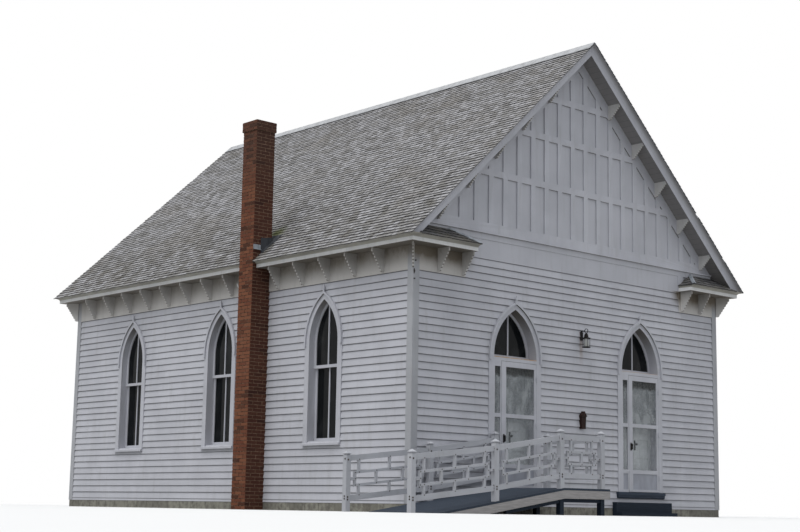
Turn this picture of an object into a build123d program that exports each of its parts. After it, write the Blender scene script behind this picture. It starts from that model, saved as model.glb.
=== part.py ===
from build123d import *
import math
import os

os.makedirs("parts", exist_ok=True)

# Small timber chapel. Millimetres, Z up, front faces -Y, X to the right.
# The origin is on the underside of the foundation, below the middle of the front wall,
# and Y = 0 is the face of the front wall that carries the clapboards.

# Walls and floor
wall_width = 8340
wall_length = 10870
wall_thickness = 200
siding_bottom = 140
floor_top = 440
floor_board = 40
joist_width = 60
joist_pitch = 1180
sill_beam_top = 385
foundation_thickness = 300
foundation_reach = 12

# Roof
roof_slope = 0.925
roof_depth = 190
ridge_cap_width = 150
ridge_cap_height = 28

# Eaves and rakes
eave_reach = 330
crown_reach = 80
fascia_thickness = 25
fascia_height = 62
crown_lip = 10
crown_bulge_reach = 34
crown_bulge_rise = 33
rake_bulge_rise = 56
soffit_thickness = 25
rake_depth = 160
rake_fascia_height = 72
return_length = 1195
return_roof_rise = 265

# Trim boards
trim_thickness = 25
corner_board_width = 140
frieze_clearance = 292
frieze_height = 415
belt_over_soffit = 415
belt_depth = 106
belt_ledge_height = 30
belt_ledge_reach = 55

# Gable boards
batten_width = 118
batten_thickness = 22
batten_pitch = 362
rail_height = 120
rail_rises = [1055, 1955, 2725]
gable_foot_rail = 170
gable_edge_board = 205
gable_frieze_height = 343
gable_frieze_half = 2955
gable_stop_width = 165

# Brackets
bracket_thickness = 30
bracket_reach = 270
bracket_height = 392
bracket_tip = 30
bracket_toe = 36
bracket_lobes = 7
bracket_lobe_radius = 36
rake_bracket_lobe_radius = 28
side_bracket_bays = 15
rake_bracket_first = 860
rake_bracket_pitch = 700
rake_bracket_count = 5
rake_bracket_height = 270
return_bracket_places = [545, 1125]

# Pointed windows
window_half = 395
window_sill = 1180
window_spring = 2960
window_rise = 748
window_pitch = 3140
lower_sash_height = 1347

# Pointed doorways
door_offset = 1727
door_half = 540
door_rise = 857
storm_top = 2635
transom_bar_height = 70

# Frames shared by windows and doorways
jamb_thickness = 30
casing_width = 120
casing_thickness = 30
hood_width = 36
hood_thickness = 58
label_stop_height = 70
finial_foot = 50
finial_foot_depth = 22
finial_waist = 26
finial_waist_rise = 30
finial_bulge = 40
finial_bulge_rise = 62
finial_height = 116
window_sill_depth = 50
window_sill_reach = 60
window_sill_fall = 10

# Sashes
sash_member = 55
sash_thickness = 40
sash_setback = 95
glass_thickness = 6
bar_width = 28

# Storm doors and inner leaves
door_gap = 5
storm_bottom = 448
storm_thickness = 36
storm_sidelight = 185
sidelight_member = 22
storm_lock_stile = 110
storm_hinge_stile = 52
storm_top_rail = 100
storm_mid_rail = 67
storm_low_rail = 70
storm_bottom_rail = 42
storm_upper_glass = 814
storm_kick_panel = 295
leaf_thickness = 40
leaf_bottom = 448
leaf_stile = 95
leaf_rail = 120
panel_recess = 10
leaf_panel_tops = [1150, 1500]
hinge_radius = 8
hinge_clearance = 0.3
hinge_flap_width = 27
hinge_flap_thickness = 3
hinge_knuckle_height = 45
hinge_levels = [720, 1540, 2360]
lock_gap = 8
handle_level = 1290
handle_plate_height = 150
handle_plate_width = 34
handle_plate_thickness = 8
handle_stem_rise = 35
handle_stem_radius = 9
handle_reach = 42
handle_grip_height = 110
handle_grip_width = 20
handle_grip_thickness = 14
knob_level = 1350
knob_radius = 24
knob_reach = 48
knob_stem_radius = 10
lock_plate_level = 1330
lock_plate_height = 190
lock_plate_width = 44
lock_plate_thickness = 5
lock_plate_corner = 6
door_sill_half = 700
door_sill_reach = 60

# Step below the right doorway
step_half_width = 825
step_height = 250
step_reach = 110
step_foot_height = 65
step_foot_reach = 240

# Ramp and landing at the left doorway
landing_top = 438
deck_thickness = 36
deck_edge = 55
deck_right = -1130
landing_left = -2265
ramp_slope = 0.152
ramp_foot = -5100
rail_line_wall = -105
rail_line_front = -1600
ramp_post = 90
ramp_post_height = 915
foot_post_height = 890
ramp_cap_height = 38
ramp_cap_neck = 22
ramp_cap_edge = 12
ramp_cap_slope = 50
ramp_post_places = [-5610, -3835, -2310]
landing_post_front = -1295
landing_post_wall = -1180
landing_post_inset = -275
rail_depth = 86
rail_thickness = 38
top_rail_top = 862
bottom_rail_bottom = 160
lattice_bar = 40
lattice_inset = 100
end_lattice_inset = 205
lattice_drop = 188
lattice_lift = 146
long_bay_least = 1250
skirt_depth = 135
skirt_thickness = 25
beam_depth = 60
beam_thickness = 60
support_post = 90
beam_left = -3600

# Chimney
chimney_centre = 4147
chimney_width = 410
chimney_depth = 415
chimney_top = 7230
chimney_band_height = 190
chimney_band_reach = 20
flue_width = 200

# Fittings
siding_relief = 18
fitting_x = 42
lantern_base = 3035
lantern_disc_radius = 76
lantern_disc_height = 16
lantern_cage_height = 150
lantern_bar_radius = 4
lantern_bar_ring = 66
lantern_bar_count = 6
lantern_dome_foot = 44
lantern_dome_shoulder = 34
lantern_dome_rise = 60
lantern_dome_height = 90
lantern_dome_tip = 8
lantern_hook_radius = 38
lantern_hook_bar = 6
lantern_reach = 118
lantern_plate_half = 32
lantern_plate_bottom = 3178
lantern_plate_top = 3326
lantern_plate_thickness = 14
lantern_arm_half = 8
box_bottom = 1552
box_foot_half = 50
box_body_half = 64
box_depth = 72
box_lid_bottom = 1775
box_lid_half = 73
box_lid_depth = 90
box_shoulder_level = 1806
box_shoulder_half = 58
box_neck_level = 1842
box_neck_half = 24
box_knob_half = 14
box_top = 1871
floodlight_bay = 6.5
floodlight_rise = 240
floodlight_plate_half = 50
floodlight_plate_thickness = 20
floodlight_spacing = 60
floodlight_neck_radius = 20
floodlight_lens_radius = 50
floodlight_length = 100
floodlight_spread = 0.7
floodlight_tilt = 0.5

half_width = wall_width / 2
eave_x = half_width + eave_reach
crown_x = eave_x + crown_reach
slab_x = eave_x - fascia_thickness
roof_pitch = math.degrees(math.atan(roof_slope))

# Levels from the windows up: frieze, soffit, belt and ridge
frieze_bottom = window_spring + window_rise + frieze_clearance
soffit_bottom = frieze_bottom + frieze_height
soffit_top = soffit_bottom + soffit_thickness
belt_top = soffit_bottom + belt_over_soffit
ridge_height = soffit_top + roof_depth + roof_slope * slab_x
meeting_rail_level = window_sill + lower_sash_height


def roof_top(x):
    return ridge_height - roof_slope * abs(x)


def roof_under(x):
    return roof_top(x) - roof_depth


crown_top = roof_top(crown_x)
chimney_near = chimney_centre - chimney_width / 2
chimney_far = chimney_centre + chimney_width / 2
chimney_outer = half_width + chimney_depth
middle_y = wall_length / 2
middle_plane = Plane.XZ.offset(-middle_y)
window_places = [middle_y - window_pitch, middle_y, middle_y + window_pitch]


def pointed_radius(half, rise):
    return (rise ** 2 + half ** 2) / (2 * half)


door_spring = storm_top + transom_bar_height
window_radius = pointed_radius(window_half, window_rise)
door_radius = pointed_radius(door_half, door_rise)


def lancet(half, radius, bottom, spring, grow=0):
    """Pointed opening grown outward by grow: straight sides, then two arcs about fixed centres."""
    centre = radius - half
    arc = radius + grow
    side = half + grow
    base = min(bottom, spring)
    turn = math.degrees(math.acos(centre / arc))
    with BuildSketch() as outline:
        with BuildLine():
            Line((-side, base), (side, base))
            if spring > base:
                Line((side, base), (side, spring))
            CenterArc((-centre, spring), arc, 0, turn)
            CenterArc((centre, spring), arc, 180 - turn, turn)
            if spring > base:
                Line((-side, spring), (-side, base))
        make_face()
        if bottom > spring:
            with Locations((0, (spring + bottom) / 2)):
                Rectangle(2 * side, bottom - spring, mode=Mode.SUBTRACT)
    return outline.sketch


def pointed_apex(half, radius, spring, grow=0):
    return spring + math.sqrt((radius + grow) ** 2 - (radius - half) ** 2)


def rectangle_between(left, bottom, right, top):
    """Rectangle given by its corners, for adding to the sketch in use."""
    with BuildSketch() as outline:
        with Locations(((left + right) / 2, (bottom + top) / 2)):
            Rectangle(right - left, top - bottom)
    return outline.sketch


def block(left, front, bottom, right, back, top):
    """Plain squared piece given by its corners."""
    with BuildPart() as piece:
        with BuildSketch(Plane.XY.offset(bottom)):
            add(rectangle_between(left, front, right, back))
        extrude(amount=top - bottom)
    return piece.part


# Foundation ring of masonry blocks
with BuildPart() as foundation:
    outer_x = half_width + foundation_reach
    back_y = wall_length + foundation_reach
    with BuildSketch(Plane.XY):
        add(rectangle_between(-outer_x, -foundation_reach, outer_x, back_y))
        add(
            rectangle_between(
                -outer_x + foundation_thickness,
                -foundation_reach + foundation_thickness,
                outer_x - foundation_thickness,
                back_y - foundation_thickness,
            ),
            mode=Mode.SUBTRACT,
        )
        add(
            rectangle_between(-chimney_outer, chimney_near, -half_width, chimney_far),
            mode=Mode.SUBTRACT,
        )
    extrude(amount=siding_bottom)
foundation.part.label = "foundation"
export_step(foundation.part, "parts/foundation.step")

# Floor boards on joists that bear on the foundation inside the walls
inner_x = half_width - wall_thickness
joist_top = floor_top - floor_board
joist_count = int((wall_length - 2 * wall_thickness - joist_width) / joist_pitch) + 1

with BuildPart() as floor:
    add(block(-inner_x, wall_thickness, joist_top, inner_x, wall_length - wall_thickness, floor_top))
floor.part.label = "floor"
export_step(floor.part, "parts/floor.step")

with BuildPart() as floor_joists:
    with BuildSketch(Plane.XY.offset(siding_bottom)):
        with Locations((0, middle_y)):
            with GridLocations(0, joist_pitch, 1, joist_count):
                Rectangle(2 * inner_x, joist_width)
    extrude(amount=joist_top - siding_bottom)
floor_joists.part.label = "floor_joists"
export_step(floor_joists.part, "parts/floor_joists.step")

# Timber sill beam below the front wall, which both door sills lie on
with BuildPart() as front_sill_beam:
    add(block(-half_width, 0, siding_bottom, half_width, wall_thickness, sill_beam_top))
front_sill_beam.part.label = "front_sill_beam"
export_step(front_sill_beam.part, "parts/front_sill_beam.step")

# Front wall beside and between the doorways
rough_half = door_half + jamb_thickness
opening_outer = door_offset + rough_half
opening_inner = door_offset - rough_half
belt_end = (ridge_height - roof_depth - belt_top) / roof_slope

with BuildPart() as front_wall_left:
    with BuildSketch(Plane.XZ.offset(-wall_thickness)):
        with BuildLine():
            Polyline(
                (-half_width, sill_beam_top),
                (-opening_outer, sill_beam_top),
                (-opening_outer, belt_top),
                (-belt_end, belt_top),
                (-half_width, roof_under(half_width)),
                close=True,
            )
        make_face()
    extrude(amount=wall_thickness)
front_wall_left.part.label = "front_wall_left"
export_step(front_wall_left.part, "parts/front_wall_left.step")

with BuildPart() as front_wall_right:
    mirror(front_wall_left.part, about=Plane.YZ)
front_wall_right.part.label = "front_wall_right"
export_step(front_wall_right.part, "parts/front_wall_right.step")

with BuildPart() as front_wall_middle:
    add(block(-opening_inner, 0, sill_beam_top, opening_inner, wall_thickness, belt_top))
front_wall_middle.part.label = "front_wall_middle"
export_step(front_wall_middle.part, "parts/front_wall_middle.step")

# Wall over each doorway, cut by the pointed arch
with BuildPart() as wall_over_left_door:
    with BuildSketch(Plane.XZ.offset(-wall_thickness)):
        add(rectangle_between(-opening_outer, door_spring, -opening_inner, belt_top))
        arch = lancet(door_half, door_radius, door_spring, door_spring, jamb_thickness)
        with Locations((-door_offset, 0)):
            add(arch, mode=Mode.SUBTRACT)
    extrude(amount=wall_thickness)
wall_over_left_door.part.label = "wall_over_left_door"
export_step(wall_over_left_door.part, "parts/wall_over_left_door.step")

with BuildPart() as wall_over_right_door:
    mirror(wall_over_left_door.part, about=Plane.YZ)
wall_over_right_door.part.label = "wall_over_right_door"
export_step(wall_over_right_door.part, "parts/wall_over_right_door.step")

# Front gable above the belt, and the whole rear wall with its gable
with BuildPart() as front_gable:
    with BuildSketch(Plane.XZ.offset(-wall_thickness)):
        with BuildLine():
            Polyline((-belt_end, belt_top), (belt_end, belt_top), (0, roof_under(0)), close=True)
        make_face()
    extrude(amount=wall_thickness)
front_gable.part.label = "front_gable"
export_step(front_gable.part, "parts/front_gable.step")

with BuildPart() as rear_wall:
    with BuildSketch(Plane.XZ.offset(-wall_length)):
        with BuildLine():
            Polyline(
                (-half_width, siding_bottom),
                (half_width, siding_bottom),
                (half_width, roof_under(half_width)),
                (0, roof_under(0)),
                (-half_width, roof_under(half_width)),
                close=True,
            )
        make_face()
    extrude(amount=wall_thickness)
rear_wall.part.label = "rear_wall"
export_step(rear_wall.part, "parts/rear_wall.step")

# Side walls under the slope of the roof, with three pointed windows each
with BuildPart() as left_wall:
    with BuildSketch(Plane.XZ.offset(-wall_thickness)):
        with BuildLine():
            Polyline(
                (-half_width, siding_bottom),
                (-half_width + wall_thickness, siding_bottom),
                (-half_width + wall_thickness, roof_under(half_width - wall_thickness)),
                (-half_width, roof_under(half_width)),
                close=True,
            )
        make_face()
    extrude(amount=-(wall_length - 2 * wall_thickness))
    with BuildSketch(Plane.YZ.offset(-half_width)):
        with Locations([(place, 0) for place in window_places]):
            add(lancet(window_half, window_radius, window_sill, window_spring, jamb_thickness))
    extrude(amount=wall_thickness, mode=Mode.SUBTRACT)
left_wall.part.label = "left_wall"
export_step(left_wall.part, "parts/left_wall.step")

with BuildPart() as right_wall:
    mirror(left_wall.part, about=Plane.YZ)
right_wall.part.label = "right_wall"
export_step(right_wall.part, "parts/right_wall.step")

# Corner boards, an angle of two boards at each corner
with BuildPart() as corner_boards:
    with BuildSketch(Plane.XY.offset(siding_bottom)):
        with Locations((-half_width - trim_thickness, -trim_thickness)):
            Rectangle(corner_board_width, corner_board_width, align=(Align.MIN, Align.MIN))
        add(rectangle_between(-half_width, 0, half_width, wall_length), mode=Mode.SUBTRACT)
    extrude(amount=soffit_bottom - siding_bottom)
    mirror(about=Plane.YZ)
    mirror(about=middle_plane)
corner_boards.part.label = "corner_boards"
export_step(corner_boards.part, "parts/corner_boards.step")

# Frieze boards below the eaves and the cornice returns
corner_inner = half_width + trim_thickness - corner_board_width
return_end = half_width - return_length
board_start = corner_board_width - trim_thickness

with BuildPart() as frieze_boards:
    for front, back in ((board_start, chimney_near), (chimney_far, wall_length - board_start)):
        add(block(-half_width - trim_thickness, front, frieze_bottom, -half_width, back, soffit_bottom))
    add(
        block(
            half_width,
            board_start,
            frieze_bottom,
            half_width + trim_thickness,
            wall_length - board_start,
            soffit_bottom,
        )
    )
    for left, right in ((-corner_inner, -return_end), (return_end, corner_inner)):
        add(block(left, -trim_thickness, frieze_bottom, right, 0, soffit_bottom))
        add(block(left, wall_length, frieze_bottom, right, wall_length + trim_thickness, soffit_bottom))
frieze_boards.part.label = "frieze_boards"
export_step(frieze_boards.part, "parts/frieze_boards.step")

# Roof slabs. In front of the walls each one sits on the flat top of a cornice return,
# and the left one is notched round the chimney
slab_front = -eave_reach + fascia_thickness
slab_back = wall_length + eave_reach - fascia_thickness
rake_reach = eave_reach + crown_reach

with BuildPart() as left_roof:
    with BuildSketch(Plane.XZ.offset(-slab_front)):
        with BuildLine():
            Polyline(
                (0, roof_top(0)),
                (-slab_x, roof_top(slab_x)),
                (-slab_x, roof_under(slab_x)),
                (0, roof_under(0)),
                close=True,
            )
        make_face()
    extrude(amount=-(slab_back - slab_front))
    add(
        block(-eave_x, slab_front, 0, -half_width + wall_thickness, 0, crown_top),
        mode=Mode.SUBTRACT,
    )
    add(
        block(-eave_x, wall_length, 0, -half_width + wall_thickness, slab_back, crown_top),
        mode=Mode.SUBTRACT,
    )
    add(
        block(-chimney_outer, chimney_near, 0, -half_width, chimney_far, chimney_top),
        mode=Mode.SUBTRACT,
    )
left_roof.part.label = "left_roof"
export_step(left_roof.part, "parts/left_roof.step")

with BuildPart() as right_roof:
    with BuildSketch(Plane.XZ.offset(-slab_front)):
        with BuildLine():
            Polyline(
                (0, roof_top(0)),
                (slab_x, roof_top(slab_x)),
                (slab_x, roof_under(slab_x)),
                (0, roof_under(0)),
                close=True,
            )
        make_face()
    extrude(amount=-(slab_back - slab_front))
    add(
        block(half_width - wall_thickness, slab_front, 0, eave_x, 0, crown_top),
        mode=Mode.SUBTRACT,
    )
    add(
        block(half_width - wall_thickness, wall_length, 0, eave_x, slab_back, crown_top),
        mode=Mode.SUBTRACT,
    )
right_roof.part.label = "right_roof"
export_step(right_roof.part, "parts/right_roof.step")

# Folded metal ridge cap, seated on both slopes
with BuildPart() as ridge_cap:
    with BuildSketch(Plane.XZ.offset(rake_reach)):
        with BuildLine():
            Polyline(
                (-ridge_cap_width, roof_top(ridge_cap_width)),
                (0, roof_top(0)),
                (ridge_cap_width, roof_top(ridge_cap_width)),
                (ridge_cap_width, roof_top(ridge_cap_width) + ridge_cap_height),
                (0, roof_top(0) + ridge_cap_height),
                (-ridge_cap_width, roof_top(ridge_cap_width) + ridge_cap_height),
                close=True,
            )
        make_face()
    extrude(amount=-(wall_length + 2 * rake_reach))
ridge_cap.part.label = "ridge_cap"
export_step(ridge_cap.part, "parts/ridge_cap.step")


def rake_section():
    """Fascia and crown of a rake. Local x runs out from the wall, local y stands on the slope."""
    fascia_top = rake_fascia_height - rake_depth
    with BuildSketch() as outline:
        with BuildLine():
            Polyline(
                (rake_reach, -crown_lip),
                (rake_reach, 0),
                (eave_reach - fascia_thickness, 0),
                (eave_reach - fascia_thickness, -rake_depth),
                (eave_reach, -rake_depth),
                (eave_reach, fascia_top),
            )
            ThreePointArc(
                (eave_reach, fascia_top),
                (eave_reach + crown_bulge_reach, fascia_top + rake_bulge_rise),
                (rake_reach, -crown_lip),
            )
        make_face()
    return outline.sketch


# Rake cornices at the gable ends, mitred at the ridge and cut level on top of the returns
rake_plane = Plane(
    origin=(0, 0, ridge_height), x_dir=(0, -1, 0), z_dir=(-1, 0, roof_slope)
)
rake_run = math.hypot(ridge_height - crown_top, crown_x) + rake_depth

with BuildPart() as front_rake_boards:
    with BuildSketch(rake_plane.offset(rake_depth)):
        add(rake_section())
    extrude(amount=-rake_run - rake_depth)
    split(bisect_by=Plane.YZ, keep=Keep.TOP)
    split(bisect_by=Plane.XY.offset(crown_top), keep=Keep.TOP)
    mirror(about=Plane.YZ)
front_rake_boards.part.label = "front_rake_boards"
export_step(front_rake_boards.part, "parts/front_rake_boards.step")

with BuildPart() as rear_rake_boards:
    mirror(front_rake_boards.part, about=middle_plane)
rear_rake_boards.part.label = "rear_rake_boards"
export_step(rear_rake_boards.part, "parts/rear_rake_boards.step")


def cornice_outline(inner_top):
    """Soffit, fascia and curved crown. Local x runs out from the wall, local y is the height."""
    fascia_top = soffit_bottom + fascia_height
    lip = crown_top - crown_lip
    with BuildSketch() as outline:
        with BuildLine():
            Polyline(
                (eave_reach + crown_reach, lip),
                (eave_reach + crown_reach, crown_top),
                (eave_reach - fascia_thickness, inner_top),
                (eave_reach - fascia_thickness, soffit_top),
                (0, soffit_top),
                (0, soffit_bottom),
                (eave_reach, soffit_bottom),
                (eave_reach, fascia_top),
            )
            ThreePointArc(
                (eave_reach, fascia_top),
                (eave_reach + crown_bulge_reach, fascia_top + crown_bulge_rise),
                (eave_reach + crown_reach, lip),
            )
        make_face()
    return outline.sketch


# Eave cornices, mitred at the corners; the left one stops against the chimney
with BuildPart() as right_eave:
    with BuildSketch(Plane(origin=(half_width, -rake_reach, 0), x_dir=(1, 0, 0), z_dir=(0, -1, 0))):
        add(cornice_outline(roof_top(slab_x)))
    extrude(amount=-(wall_length + 2 * rake_reach))
    split(bisect_by=Plane(origin=(half_width, 0, 0), z_dir=(1, 1, 0)), keep=Keep.TOP)
    split(bisect_by=Plane(origin=(half_width, wall_length, 0), z_dir=(1, -1, 0)), keep=Keep.TOP)
    for front, back in ((-rake_reach, slab_front), (slab_back, wall_length + rake_reach)):
        add(block(slab_x, front, crown_top, crown_x, back, ridge_height), mode=Mode.SUBTRACT)
right_eave.part.label = "right_eave"
export_step(right_eave.part, "parts/right_eave.step")

with BuildPart() as left_eave:
    mirror(right_eave.part, about=Plane.YZ)
    add(
        block(-chimney_outer, chimney_near, 0, -half_width, chimney_far, chimney_top),
        mode=Mode.SUBTRACT,
    )
left_eave.part.label = "left_eave"
export_step(left_eave.part, "parts/left_eave.step")

# Cornice returns, the same section turned round each corner onto the gable wall
with BuildPart() as cornice_returns:
    with BuildSketch(Plane(origin=(return_end, 0, 0), x_dir=(0, -1, 0), z_dir=(-1, 0, 0))):
        add(cornice_outline(crown_top))
    extrude(amount=-(return_length + eave_reach + crown_reach))
    split(bisect_by=Plane(origin=(half_width, 0, 0), z_dir=(1, 1, 0)), keep=Keep.BOTTOM)
    add(
        block(
            return_end,
            -eave_reach + fascia_thickness,
            soffit_top,
            return_end + fascia_thickness,
            0,
            crown_top,
        )
    )
    mirror(about=Plane.YZ)
    mirror(about=middle_plane)
cornice_returns.part.label = "cornice_returns"
export_step(cornice_returns.part, "parts/cornice_returns.step")

# Small hipped roofs over the returns, trimmed where they run in under the main slope
with BuildPart() as return_roofs:
    with BuildSketch(Plane(origin=(return_end, 0, 0), x_dir=(0, -1, 0), z_dir=(-1, 0, 0))):
        with BuildLine():
            Polyline(
                (0, crown_top),
                (eave_reach + crown_reach, crown_top),
                (0, crown_top + return_roof_rise),
                close=True,
            )
        make_face()
    extrude(amount=-(return_length + eave_reach))
    split(
        bisect_by=Plane(
            origin=(return_end, 0, crown_top),
            z_dir=(-return_roof_rise, 0, eave_reach + crown_reach),
        ),
        keep=Keep.BOTTOM,
    )
    split(
        bisect_by=Plane(origin=(0, 0, roof_under(0)), z_dir=(roof_slope, 0, 1)),
        keep=Keep.BOTTOM,
    )
    add(front_rake_boards.part, mode=Mode.SUBTRACT)
    mirror(about=Plane.YZ)
    mirror(about=middle_plane)
return_roofs.part.label = "return_roofs"
export_step(return_roofs.part, "parts/return_roofs.step")


def bracket_outline(height, lobe_radius, extra=0):
    """Sawn bracket with rounded lobes. Local x runs out from the wall, the top is at y = 0."""
    reach = bracket_reach
    toe = bracket_toe
    step_x = (reach - toe) / bracket_lobes
    step_y = (height - bracket_tip) / bracket_lobes
    with BuildSketch() as outline:
        with BuildLine():
            Polyline((toe, -height), (0, -height), (0, extra), (reach, extra), (reach, -bracket_tip))
            for lobe in range(bracket_lobes):
                start = (reach - lobe * step_x, -bracket_tip - lobe * step_y)
                end = (start[0] - step_x, start[1] - step_y)
                RadiusArc(start, end, lobe_radius)
        make_face()
    return outline.sketch


# Brackets under the side eaves, one at each bay line
side_bracket_pitch = wall_length / side_bracket_bays
side_bracket_places = [side_bracket_pitch * bay for bay in range(1, side_bracket_bays)]
frieze_face = half_width + trim_thickness

with BuildPart() as right_eave_brackets:
    for place in side_bracket_places:
        with BuildSketch(
            Plane(origin=(frieze_face, place, soffit_bottom), x_dir=(1, 0, 0), z_dir=(0, -1, 0))
        ):
            add(bracket_outline(bracket_height, bracket_lobe_radius))
        extrude(amount=bracket_thickness / 2, both=True)
right_eave_brackets.part.label = "right_eave_brackets"
export_step(right_eave_brackets.part, "parts/right_eave_brackets.step")

with BuildPart() as left_eave_brackets:
    for place in side_bracket_places:
        if chimney_near - bracket_thickness < place < chimney_far + bracket_thickness:
            continue
        with BuildSketch(
            Plane(origin=(-frieze_face, place, soffit_bottom), x_dir=(-1, 0, 0), z_dir=(0, 1, 0))
        ):
            add(bracket_outline(bracket_height, bracket_lobe_radius))
        extrude(amount=bracket_thickness / 2, both=True)
left_eave_brackets.part.label = "left_eave_brackets"
export_step(left_eave_brackets.part, "parts/left_eave_brackets.step")

# Gable brackets: under the returns, at the corners on the diagonal, and up both rakes
rake_bracket_places = [rake_bracket_first + rake_bracket_pitch * n for n in range(rake_bracket_count)]

with BuildPart() as gable_brackets:
    for place in rake_bracket_places:
        with BuildSketch(
            Plane(
                origin=(place, -batten_thickness, roof_under(place)),
                x_dir=(0, -1, 0),
                z_dir=(-1, 0, 0),
            )
        ):
            add(bracket_outline(rake_bracket_height, rake_bracket_lobe_radius, bracket_thickness))
        extrude(amount=bracket_thickness / 2, both=True)
    split(
        bisect_by=Plane(origin=(0, 0, roof_under(0)), z_dir=(roof_slope, 0, 1)),
        keep=Keep.BOTTOM,
    )
    for distance in return_bracket_places:
        with BuildSketch(
            Plane(
                origin=(half_width - distance, -trim_thickness, soffit_bottom),
                x_dir=(0, -1, 0),
                z_dir=(-1, 0, 0),
            )
        ):
            add(bracket_outline(bracket_height, bracket_lobe_radius))
        extrude(amount=bracket_thickness / 2, both=True)
    with BuildSketch(
        Plane(
            origin=(frieze_face, -trim_thickness, soffit_bottom),
            x_dir=(1, -1, 0),
            z_dir=(-1, -1, 0),
        )
    ):
        add(bracket_outline(bracket_height, bracket_lobe_radius))
    extrude(amount=bracket_thickness / 2, both=True)
    mirror(about=Plane.YZ)
    mirror(about=middle_plane)
gable_brackets.part.label = "gable_brackets"
export_step(gable_brackets.part, "parts/gable_brackets.step")


def gable_face(drop=0):
    """Triangle of the gable wall under the roof, drawn in by drop along the height."""
    base = (roof_under(0) - drop - belt_top) / roof_slope
    with BuildSketch() as outline:
        with BuildLine():
            Polyline((-base, belt_top), (base, belt_top), (0, roof_under(0) - drop), close=True)
        make_face()
    return outline.sketch


def gable_edge():
    """Sloping edge boards along both rakes."""
    with BuildSketch() as outline:
        add(gable_face())
        add(gable_face(gable_edge_board / math.cos(math.radians(roof_pitch))), mode=Mode.SUBTRACT)
    return outline.sketch


# Battens, rails and edge boards of the gable, joined where they cross, over the belt board
# and the plain frieze with its stops
gable_frieze_bottom = belt_top - belt_depth - gable_frieze_height
batten_count = int(belt_end / batten_pitch)
ledge_top = belt_top + belt_ledge_height
ledge_end = (roof_under(0) - ledge_top) / roof_slope

with BuildPart() as front_gable_battens:
    with BuildSketch(Plane.XZ):
        with Locations((0, (belt_top + ridge_height) / 2)):
            with GridLocations(batten_pitch, 1, 2 * batten_count, 1):
                Rectangle(batten_width, ridge_height - belt_top)
        for rise in rail_rises:
            level = belt_top + rise
            add(rectangle_between(-belt_end, level, belt_end, level + rail_height))
        add(rectangle_between(-belt_end, belt_top, belt_end, ledge_top + gable_foot_rail))
        add(gable_face(), mode=Mode.INTERSECT)
        add(gable_edge())
    extrude(amount=batten_thickness)
    add(block(-ledge_end, -trim_thickness, belt_top - belt_depth, ledge_end, 0, belt_top))
    add(block(-ledge_end, -belt_ledge_reach, belt_top, ledge_end, 0, ledge_top))
    add(
        block(
            -gable_frieze_half,
            -siding_relief,
            gable_frieze_bottom,
            gable_frieze_half,
            0,
            belt_top - belt_depth,
        )
    )
    for left in (-gable_frieze_half - gable_stop_width, gable_frieze_half):
        add(
            block(
                left,
                -trim_thickness,
                gable_frieze_bottom,
                left + gable_stop_width,
                0,
                belt_top - belt_depth,
            )
        )
    for neighbour in (frieze_boards, cornice_returns, return_roofs):
        add(neighbour.part, mode=Mode.SUBTRACT)
front_gable_battens.part.label = "front_gable_battens"
export_step(front_gable_battens.part, "parts/front_gable_battens.step")

with BuildPart() as rear_gable_battens:
    mirror(front_gable_battens.part, about=middle_plane)
rear_gable_battens.part.label = "rear_gable_battens"
export_step(rear_gable_battens.part, "parts/rear_gable_battens.step")

# Brick chimney, a straight shaft outside the left wall, and its band pierced by the flue
chimney_band_bottom = chimney_top - chimney_band_height

with BuildPart() as chimney:
    add(block(-chimney_outer, chimney_near, 0, -half_width, chimney_far, chimney_band_bottom))
chimney.part.label = "chimney"
export_step(chimney.part, "parts/chimney.step")

with BuildPart() as chimney_band:
    with BuildSketch(Plane.XY.offset(chimney_band_bottom)):
        with Locations((-half_width - chimney_depth / 2, chimney_centre)):
            Rectangle(
                chimney_depth + 2 * chimney_band_reach, chimney_width + 2 * chimney_band_reach
            )
            Rectangle(flue_width, flue_width, mode=Mode.SUBTRACT)
    extrude(amount=chimney_band_height)
chimney_band.part.label = "chimney_band"
export_step(chimney_band.part, "parts/chimney_band.step")

# Window frames: jambs through the wall, flat casing outside and a sloped sill
window_outer = window_half + casing_width
casing_foot = window_sill - window_sill_fall


def window_frame():
    """One window frame centred on local X = 0 with its outer face towards -Y."""
    with BuildPart() as frame:
        with BuildSketch(Plane.XZ.offset(-wall_thickness)):
            add(lancet(window_half, window_radius, window_sill, window_spring, jamb_thickness))
            add(
                lancet(window_half, window_radius, window_sill + jamb_thickness, window_spring),
                mode=Mode.SUBTRACT,
            )
        extrude(amount=wall_thickness)
        with BuildSketch(Plane.XZ):
            add(lancet(window_half, window_radius, casing_foot, window_spring, casing_width))
            add(
                lancet(window_half, window_radius, casing_foot, window_spring),
                mode=Mode.SUBTRACT,
            )
        extrude(amount=casing_thickness)
        with BuildSketch(Plane.YZ.offset(-window_outer)):
            with BuildLine():
                Polyline(
                    (0, window_sill + window_sill_fall),
                    (-window_sill_reach, window_sill - window_sill_fall),
                    (-window_sill_reach, window_sill - window_sill_depth),
                    (0, window_sill - window_sill_depth),
                    close=True,
                )
            make_face()
        extrude(amount=2 * window_outer)
    return frame.part


left_window_spots = [
    Location(Plane(origin=(-half_width, place, 0), x_dir=(0, -1, 0), z_dir=(0, 0, 1)))
    for place in window_places
]

one_window_frame = window_frame()
with BuildPart() as window_frames:
    for spot in left_window_spots:
        add(one_window_frame.moved(spot))
    mirror(about=Plane.YZ)
window_frames.part.label = "window_frames"
export_step(window_frames.part, "parts/window_frames.step")


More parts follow.
